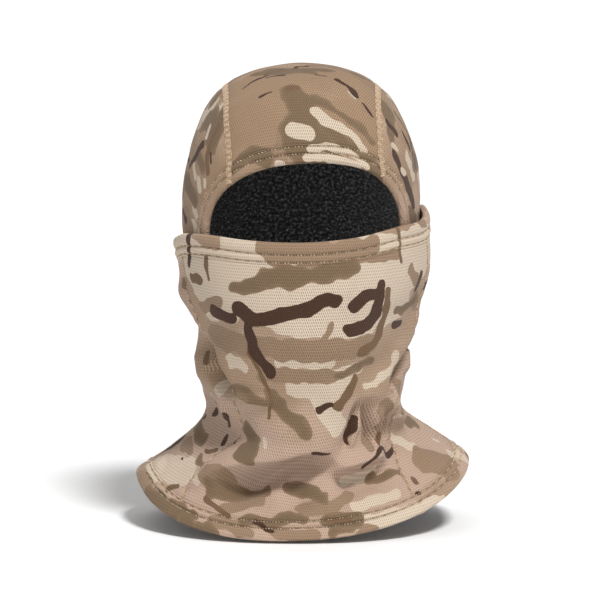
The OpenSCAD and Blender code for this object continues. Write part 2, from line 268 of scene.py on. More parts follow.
def neck_base(angle, depth):
    """The clean surface of cover, neck and bib."""
    angle, depth = np.broadcast_arrays(np.asarray(angle, float), np.asarray(depth, float))
    turn = (angle + 180) % 360 - 180
    sx, sy = section(turn)
    side = np.where(turn < 0, smooth(WEARER_RIGHT, depth), smooth(WEARER_LEFT, depth))
    half = side + (smooth(SIDE_ENDS, depth) - side) * ease((np.abs(turn) - 76) / 22)
    reach = np.where(sy < 0, smooth(FRONT, depth), smooth(BACK, depth))
    share = np.clip(depth - HOOD_DEPTH, 0, None) / (225 - HOOD_DEPTH)
    z = np.where(depth <= HOOD_DEPTH, -depth, -HOOD_DEPTH + share * (hem_height(turn) + HOOD_DEPTH))
    return np.stack([sx * half, sy * reach, z], -1)


print("chin, chest hem in mm:", neck_base(0, [100, 225]).round(1).tolist())

# %% [markdown]
# ## Folds
# Cloth that is too long for the neck stacks into folds. Each fold here is a path drawn on the
# cloth, with a height and a width on either side. A steep lower side makes an overhang that
# throws a shadow, and a negative height makes a valley. The paths are written as angle and
# depth, so a fold is easy to move by hand, which a cloth simulation wouldn't allow.

# %% Fold paths: points (degrees, mm), height, width on the upper or right side, width beyond it
ARC_PER_DEGREE = 1.6
FOLD_GAIN = 2.0
FOLDS = [
    ([(-86, 36), (-79, 46), (-74, 58), (-69, 70), (-62, 80)], 1.9, 13, 5),       # cheek bulge
    ([(-74, 78), (-63, 88), (-57, 99), (-51, 110), (-43, 119), (-33, 125)], -6.8, 6.5, 8),
    ([(-64, 104), (-54, 112), (-46, 119)], -4.5, 6, 6),
    ([(-76, 94), (-72, 108), (-66, 122)], 1.2, 9, 8),                             # gusset bulge
    ([(-56, 128), (-40, 124), (-22, 120), (-8, 122)], 1.8, 10, 5),
    ([(-40, 112), (-24, 117), (-10, 114)], -1.2, 5, 5),
    ([(-60, 150), (-52, 140), (-44, 131)], 2.0, 7, 7),
    ([(-60, 205), (-46, 194), (-38, 184), (-25, 174), (-8, 161), (3, 155), (12, 162), (24, 181)],
     6.6, 19, 4.8),                                                                # chest swoop
    ([(-40, 197), (-22, 184), (-6, 172), (5, 169), (14, 182)], -6.8, 6, 13),
    ([(-6, 180), (-2, 190), (-2, 208)], -3.0, 9, 8),
    ([(10, 178), (26, 178), (40, 181), (52, 189)], 6.0, 13, 4.0),                 # right overhang
    ([(12, 188), (26, 188), (40, 191), (50, 197)], -4.6, 5, 9),
    ([(33, 121), (28, 134), (24, 154), (20, 166)], -4.0, 5, 4),                 # creases
    ([(37, 120), (34, 134), (39, 156), (43, 175)], -4.2, 4.5, 4),
    ([(31, 142), (27, 152), (24, 164)], 2.6, 4, 4),
    ([(42, 132), (45, 150), (48, 175)], 2.4, 5, 5),
    ([(50, 146), (52, 160), (52, 176)], -2.6, 4, 5),
    ([(40, 119), (50, 130), (60, 148), (72, 168), (82, 180)], 3.8, 10, 9),        # bulge
    ([(78, 82), (71, 94), (67, 107), (58, 119), (48, 129)], -6.5, 8, 5.5),          # right valley
    ([(82, 96), (80, 112), (76, 128)], 2.2, 9, 9),                                # gusset
    ([(84, 40), (78, 58), (68, 82), (56, 104), (42, 120), (26, 138)], 2.6, 9, 12),
    ([(24, 10), (19, 26), (14, 44)], 0.9, 6, 6),
    ([(-20, 60), (0, 74), (24, 82), (48, 78)], 1.0, 14, 14),
    ([(-34, 148), (-20, 142), (0, 138), (14, 144)], 1.2, 10, 8),
    ([(64, 196), (70, 210), (74, 222)], 2.2, 8, 10),
    ([(-76, 200), (-82, 212), (-88, 222)], 2.0, 9, 8),
    ([(118, 112), (150, 124), (182, 121), (214, 124), (240, 114)], 2.8, 10, 6),   # nape
    ([(122, 128), (152, 138), (184, 136), (216, 138), (238, 130)], -2.4, 7, 8),
    ([(126, 146), (156, 154), (190, 150), (222, 154)], 2.2, 9, 7),
    ([(136, 172), (140, 196), (142, 220)], 1.8, 10, 12),
    ([(186, 168), (184, 196), (186, 222)], -1.6, 12, 12),
    ([(226, 174), (222, 198), (220, 220)], 2.0, 11, 10),
    ([(100, 96), (104, 120), (102, 142)], -2.0, 8, 8),
    ([(-100, 96), (-103, 118), (-101, 142)], -1.8, 8, 8),
]


def softened(path, rounds=2):
    """Cuts the corners of a path of points, which stays between its two ends."""
    path = np.array(path, float)
    for _ in range(rounds):
        a, b = path[:-1], path[1:]
        cut = np.stack([0.75 * a + 0.25 * b, 0.25 * a + 0.75 * b], 1).reshape(-1, path.shape[1])
        path = np.concatenate([path[:1], cut, path[-1:]])
    return path


def fold_height(angle, depth, path, height, upper, lower):
    """Height of one fold at the given places on the cloth."""
    path = softened(path)
    across = ARC_PER_DEGREE * ((angle - path[0, 0] + 180) % 360 - 180)
    track = (path - [path[0, 0], 0]) * [ARC_PER_DEGREE, 1]
    reach = 3 * max(upper, lower)
    close = ((across > track[:, 0].min() - reach) & (across < track[:, 0].max() + reach)
             & (depth > track[:, 1].min() - reach) & (depth < track[:, 1].max() + reach))
    u, d = across[close], depth[close]
    steps = np.diff(track, axis=0)
    lengths = np.hypot(*steps.T)
    near, above, run, walked = np.full(u.shape, 1e9), np.zeros(u.shape, bool), np.zeros(u.shape), 0.0
    for start, step, length in zip(track, steps, lengths):
        t = np.clip(((u - start[0]) * step[0] + (d - start[1]) * step[1]) / length**2, 0, 1)
        du, dd = u - start[0] - t * step[0], d - start[1] - t * step[1]
        gap = np.hypot(du, dd)
        closer = gap < near
        near = np.where(closer, gap, near)
        above = np.where(closer, step[0] * dd - step[1] * du < 0, above)
        run = np.where(closer, walked + t * length, run)
        walked += length
    share = run / walked
    fade = ease(share / 0.3) * ease((1 - share) / 0.3)
    risen = np.zeros(angle.shape)
    risen[close] = FOLD_GAIN * height * fade * np.exp(-(near / np.where(above, upper, lower)) ** 2)
    return risen


# %% Front seams and small ripples
SEAM_RIGHT = [(-14, -66), (40, -68), (75, -66), (95, -58), (112, -50), (126, -40), (140, -39), (155, -43),
              (170, -49), (185, -51), (228, -51)]
SEAM_LEFT = [(-14, 71), (50, 73), (92, 70), (110, 64), (130, 56), (150, 57), (172, 60), (186, 59),
             (197, 53), (210, 46), (228, 44)]


def front_seam(depth, side):
    return smooth(SEAM_LEFT if side > 0 else SEAM_RIGHT, depth)


def ripples(angle, depth):
    """The slow waves of slack cloth, stronger at the neck than at the mouth."""
    a = np.radians(angle)
    slack = ease((depth - 50) / 60)
    slow = 0.5 * np.sin(3 * a + depth / 21) + 0.35 * np.sin(5 * a - depth / 15 + 1.3)
    quick = 0.16 * np.sin(13 * a + depth / 5.5 + 2) + 0.13 * np.sin(21 * a - depth / 7 + 0.6)
    return (0.35 + 0.9 * slack) * slow + (0.3 + slack) * quick


def neck_relief(angle, depth):
    """Height of the cloth over the clean neck, from its folds, seams and ripples."""
    hem_calm = 1 - 0.75 * ease((depth - 200) / 25)
    mouth_calm = ease((depth + 6) / 30)
    relief = ripples(angle, depth) * hem_calm
    for fold in FOLDS:
        relief = relief + fold_height(angle, depth, *fold) * hem_calm
    relief = relief * (0.15 + 0.85 * mouth_calm)
    for side in (-1, 1):
        gap = (angle - front_seam(depth, side)) * ARC_PER_DEGREE
        pull = 0.25 * np.sin(depth * 0.8 + 1.5 * side) * np.exp(-(gap / 8) ** 2)
        relief = relief + (pull - 1.1 * np.exp(-(gap / 2.6) ** 2)) * ease((depth - 22) / 20)
    return relief


# %% One table of the shaped surface, with its normals and cloth lengths
ANGLE_STEP, DEPTH_STEP, DEPTH_START, DEPTH_END = 0.5, 0.75, -21.0, 228.75
angle_rows = np.arange(-180, 180 + ANGLE_STEP / 2, ANGLE_STEP)
depth_rows = np.arange(DEPTH_START, DEPTH_END + DEPTH_STEP / 2, DEPTH_STEP)


def grid_normals(points):
    """Outward normals of a grid that closes on itself along its first axis."""
    ring = np.concatenate([points[-2:-1], points, points[1:2]])
    cross = np.cross(np.gradient(ring, axis=0)[1:-1], np.gradient(points, axis=1))
    return -cross / np.linalg.norm(cross, axis=-1, keepdims=True)


angle_grid, depth_grid = np.meshgrid(angle_rows, depth_rows, indexing="ij")
base = neck_base(angle_grid, depth_grid)
relief = neck_relief(angle_grid, depth_grid)
shaped = base + grid_normals(base) * relief[..., None]
shaped_normals = grid_normals(shaped)


def lengths_along(points, axis, start):
    """Distance along one axis of a grid of points, measured from the index start."""
    steps = np.linalg.norm(np.diff(points, axis=axis), axis=-1)
    pad = [(1, 0) if i == axis else (0, 0) for i in range(2)]
    run = np.cumsum(np.pad(steps, pad), axis=axis)
    return run - np.take(run, [start], axis=axis)


cloth_u = lengths_along(base, 0, len(angle_rows) // 2)
cloth_v = lengths_along(base, 1, int(-DEPTH_START / DEPTH_STEP))
neck_table = np.concatenate([shaped, shaped_normals, cloth_u[..., None], cloth_v[..., None]], -1)


def neck(angle, depth, lift=0.0):
    """(points, cloth coordinates) of the worn neck, raised by lift along its normals."""
    angle, depth, lift = np.broadcast_arrays(*(np.asarray(a, float) for a in (angle, depth, lift)))
    a = ((angle + 180) % 360) / ANGLE_STEP
    d = np.clip((depth - DEPTH_START) / DEPTH_STEP, 0, len(depth_rows) - 1.001)
    i, j = np.clip(a.astype(int), 0, len(angle_rows) - 2), d.astype(int)
    s, t = (a - i)[..., None], (d - j)[..., None]
    mixed = ((1 - s) * ((1 - t) * neck_table[i, j] + t * neck_table[i, j + 1])
             + s * ((1 - t) * neck_table[i + 1, j] + t * neck_table[i + 1, j + 1]))
    out = mixed[..., 3:6]
    out = out / np.linalg.norm(out, axis=-1, keepdims=True)
    return mixed[..., :3] + out * lift[..., None], mixed[..., 6:8]


print("relief from", round(float(relief.min()), 1), "to", round(float(relief.max()), 1), "mm")

# %% [markdown]
# ## The eye opening
# The opening is an arch over the brow that runs straight down the cheeks, behind the face
# cover. It was sewn a little crooked, as on most knitted hoods, so the arch is turned and
# moved to one side.

# %% Eye opening edge
EYE_MIDDLE, EYE_HALF, EYE_TOP, EYE_TURN, EYE_ROUND = 2.5, 73.0, 59.0, 0.047, 2.4
CHEEK_END = -56.0


def arch(share):
    """(x, z) of the brow's edge, from -1 at the wearer's right to 1 at the left."""
    a = np.radians(90 * np.asarray(share, float))
    x = EYE_HALF * powered(np.sin(a), 2 / EYE_ROUND)
    return x + EYE_MIDDLE, EYE_TOP * powered(np.cos(a), 2 / EYE_ROUND) + EYE_TURN * x


def hood_front(x, z):
    half, front, _ = hood_halves(z)
    return np.stack([x, -front * rest_of(np.clip(x / half, -1, 1)), z], -1)


arch_x, arch_z = arch(np.linspace(-1, 1, 721))
cheek_z = np.linspace(0, 1, 60)
right_cheek = np.stack([np.full(60, arch_x[0]), CHEEK_END + (arch_z[0] - CHEEK_END) * cheek_z], -1)
left_cheek = np.stack([np.full(60, arch_x[-1]), arch_z[-1] + (CHEEK_END - arch_z[-1]) * cheek_z], -1)
edge_xz = np.concatenate([right_cheek[:-1], np.stack([arch_x, arch_z], -1), left_cheek[1:]])


def evenly(points, spacing):
    """Points at equal steps along a path, with the path's ends kept."""
    run = np.concatenate([[0], np.cumsum(np.linalg.norm(np.diff(points, axis=0), axis=1))])
    count = max(2, int(round(run[-1] / spacing)) + 1)
    at = np.linspace(0, run[-1], count)
    return np.stack([np.interp(at, run, points[:, k]) for k in range(points.shape[1])], -1)


eye_edge = evenly(hood_front(edge_xz[:, 0], edge_xz[:, 1]), 1.4)
edge_steps = np.gradient(eye_edge, axis=0)
edge_out = np.cross(normal_of(hood_level, eye_edge), edge_steps)
edge_out /= np.linalg.norm(edge_out, axis=1, keepdims=True)
edge_out *= np.sign(np.sum(edge_out * (eye_edge - [EYE_MIDDLE, -90, 10]), 1))[:, None]
print("eye opening edge:", len(eye_edge), "points,", round(1.4 * len(eye_edge)), "mm round")


def from_eye_edge(p):
    """Distance of hood points from the edge of the eye opening."""
    flat = p.reshape(-1, 3)
    parts = [np.sqrt(((c[:, None] - eye_edge[None, ::2]) ** 2).sum(-1).min(1))
             for c in np.array_split(flat, max(1, len(flat) // 4000))]
    return np.concatenate(parts).reshape(p.shape[:-1])


# %% [markdown]
# ## The hood's grids
# The crown strip is laid out as columns from the brow over the top to the nape, and each side
# panel as level rows from the cheek to the back seam, so both meet exactly on the seams.

# %% Crown and side grids
def crown_column(share):
    """One line of the crown strip from the brow to the nape; share runs from -1 to 1 across."""
    top = CROWN_TOP * rest_of(share * SEAM_HALF / HOOD_HALF, DOME)
    brow = np.interp(share * SEAM_HALF + 3, arch_x, arch_z) + 1.0
    rise = np.linspace(math.asin(min(1, brow / top)), math.pi / 2, 160)
    front_z = top * np.sin(rise)
    front_x = share * SEAM_HALF + smooth(SEAM_LEAN, front_z)
    half, front, _ = hood_halves(np.minimum(front_z, CROWN_TOP - 0.001))
    brow_half = np.stack([front_x, -front * rest_of(np.clip(front_x / half, -1, 1)), front_z], -1)
    over = top * np.sin(np.linspace(math.pi / 2, 0, 160))[1:]
    back_z = np.concatenate([over, np.linspace(-1, -HOOD_DEPTH, 60)])
    back_x = share * (SEAM_HALF - NAPE_TAKE_IN * np.clip(-back_z, 0, None) / HOOD_DEPTH)
    half, _, back = hood_halves(np.minimum(back_z, CROWN_TOP - 0.001))
    nape_half = np.stack([back_x, back * rest_of(np.clip(back_x / half, -1, 1)), back_z], -1)
    return np.concatenate([brow_half, nape_half])


def crown_grid(spacing):
    columns = [crown_column(s) for s in np.linspace(-1, 1, int(2 * SEAM_HALF / spacing) + 1)]
    rows = len(evenly(columns[len(columns) // 2], spacing))
    grid = []
    for line in columns:
        run = np.concatenate([[0], np.cumsum(np.linalg.norm(np.diff(line, axis=0), axis=1))])
        at = np.linspace(0, run[-1], rows)
        grid.append(np.stack([np.interp(at, run, line[:, k]) for k in range(3)], -1))
    return np.array(grid)


def side_grid(side, spacing):
    tip = CROWN_TOP * rest_of(SEAM_HALF / HOOD_HALF, DOME) - 0.004
    levels = np.concatenate([np.linspace(-HOOD_DEPTH, 60, 121), np.linspace(60.5, tip, 200)])
    profile = np.stack([hood_halves(levels)[0], levels], -1)
    z = evenly(profile, spacing)[:, 1]
    half = hood_halves(z)[0]
    side_of_arch = (arch_x - EYE_MIDDLE) * side > 0
    order = np.argsort(arch_z[side_of_arch])
    brow_x = np.interp(z, arch_z[side_of_arch][order], arch_x[side_of_arch][order])
    seam = seam_x(z, side, True)
    front_x = np.where(z > arch_z[side_of_arch].min(), brow_x, EYE_MIDDLE + side * EYE_HALF) + side * 1.0
    front_x = np.where((z > 30) & (side * front_x < side * seam), seam, front_x)
    front = angle_at(np.clip(side * front_x / half, 0, 1))
    back = 180 - angle_at(np.clip(side * seam_x(z, side, False) / half, 0, 1))
    shares = np.linspace(0, 1, int(200 / spacing))
    angles = side * (front[:, None] + (back - front)[:, None] * shares)
    return hood_at(z[:, None], angles)


CROWN_RADIUS, SIDE_RADIUS, SIDE_RISE = 112, 96, 100             # turn an angle into cloth length


def crown_uv(p):
    """Cloth coordinates of the crown strip, in millimetres: across and from front to back."""
    turn = np.arctan2(p[..., 2], -p[..., 1])
    return np.stack([p[..., 0], CROWN_RADIUS * np.where(turn < -0.8, turn + 2 * np.pi, turn)], -1)


def side_uv(p):
    x = np.abs(p[..., 0])
    around = SIDE_RADIUS * np.arctan2(x, -p[..., 1]) * np.sign(p[..., 0])
    return np.stack([around, -SIDE_RISE * np.arctan2(p[..., 2], x)], -1)


print("crown strip is", round(sum(np.linalg.norm(np.diff(crown_column(0.0), axis=0), axis=1))), "mm long")

# %% [markdown]
# ## The printed pattern
# The knit is printed with a camouflage of soft-edged lobes in five desert colours. Drawing it
# with noise alone gives clouds, not brush strokes, so each lobe is a thick stroke laid on the
# cloth: a short path with a radius. Every vertex stores how far it lies inside the nearest
# stroke of each colour, and the material turns that distance into a crisp edge. The strokes
# are our own. The back and the hidden parts are scattered from a fixed seed, and the front of
# the hood, the cover, the gussets and the bib have theirs listed one by one.

# %% Noise and strokes
def lattice_noise(u, v, seed):
    """Smooth noise from -1 to 1 with a cell of one unit."""
    i, j = np.floor(u), np.floor(v)
    s, t = u - i, v - j
    total = 0
    for di, dj, w in ((0, 0, (1 - ease(s)) * (1 - ease(t))), (1, 0, ease(s) * (1 - ease(t))),
                      (0, 1, (1 - ease(s)) * ease(t)), (1, 1, ease(s) * ease(t))):
        mixed = np.sin((i + di) * 127.1 + (j + dj) * 311.7 + seed * 74.7) * 43758.5453
        turn = 2 * np.pi * (mixed - np.floor(mixed))
        total = total + w * (np.cos(turn) * (s - di) + np.sin(turn) * (t - dj))
    return 1.5 * total


def stroke_depth(u, v, strokes):
    """Millimetres inside the nearest stroke, negative outside."""
    best = np.full(u.shape, -99.0)
    for points, start_radius, end_radius in strokes:
        path = softened(points, 1)
        steps = np.diff(path, axis=0)
        whole, walked = np.hypot(*steps.T).sum(), 0.0
        reach = max(start_radius, end_radius) + 4
        close = ((u > path[:, 0].min() - reach) & (u < path[:, 0].max() + reach)
                 & (v > path[:, 1].min() - reach) & (v < path[:, 1].max() + reach))
        cu, cv, inside = u[close], v[close], np.full(np.count_nonzero(close), -99.0)
        for (a, b), (du, dv) in zip(path, steps):
            length = math.hypot(du, dv)
            t = np.clip(((cu - a) * du + (cv - b) * dv) / length**2, 0, 1)
            radius = start_radius + (end_radius - start_radius) * (walked + t * length) / whole
            inside = np.maximum(inside, radius - np.hypot(cu - a - t * du, cv - b - t * dv))
            walked += length
        best[close] = np.maximum(best[close], inside)
    return best


def scattered(seed, cell, chance, length, radius, steep=0.25, keep_clear=None):
    """Random strokes, about one in each cell of the cloth, outside a box kept for the listed strokes."""
    rng = np.random.default_rng(seed)
    strokes = []
    for cu in np.arange(-340, 340, cell[0]):
        for cv in np.arange(-150, 440, cell[1]):
            where = rng.uniform(0, 1, 2) * cell + (cu, cv)
            size, fat = rng.uniform(0.5, 1.3), rng.uniform(0.65, 1.25)
            lean, bow = rng.normal(0, steep), rng.normal(0, 0.3)
            taper, draw = rng.uniform(0.5, 1.2), rng.uniform()
            drawn = keep_clear and abs(where[0]) < keep_clear[0] and keep_clear[1] < where[1] < keep_clear[2]
            if draw > chance or drawn:
                continue
            along = np.array([math.cos(lean), math.sin(lean)]) * length * size / 2
            across = np.array([-along[1], along[0]]) * bow
            points = [where - along, where - along * 0.3 + across,
                      where + along * 0.4 - across * 0.5, where + along]
            strokes.append((points, radius * fat, radius * fat * taper))
    return strokes


LAYERS = ("cream", "khaki", "olive", "brown", "dark", "fleck")


def scatter_all(seed, olive, cream, brown, dark, fleck, keep_clear=None):
    """Strokes for every colour; each share is how much of that colour the cloth carries."""
    return {
        "olive": scattered(seed, (38, 24), olive, 32, 7.0, 0.25, keep_clear),
        "cream": scattered(seed + 1, (44, 30), cream, 28, 8.0, 0.25, keep_clear),
        "khaki": scattered(seed + 5, (46, 30), olive * 0.7, 34, 7.5, 0.25, keep_clear),
        "brown": scattered(seed + 2, (42, 30), brown, 24, 3.2, 0.9, keep_clear),
        "dark": scattered(seed + 3, (40, 28), dark, 13, 2.8, 0.6, keep_clear),
        "fleck": scattered(seed + 4, (40, 26), fleck, 6, 2.0, 0.8, keep_clear),
    }


PRINTS = {
    "crown": scatter_all(11, 0.4, 0.2, 0.22, 0.32, 0.25, (60, 50, 155)),
    "sides": scatter_all(23, 0.55, 0.2, 0.3, 0.4, 0.3, (126, -98, -12)),
    "front": scatter_all(37, 0.42, 0.16, 0.2, 0.16, 0.15, (112, -25, 205)),
    "gussets": scatter_all(51, 0.5, 0.34, 0.3, 0.34, 0.3, (205, -25, 232)),
    "back": scatter_all(67, 0.5, 0.4, 0.35, 0.36, 0.3),
}
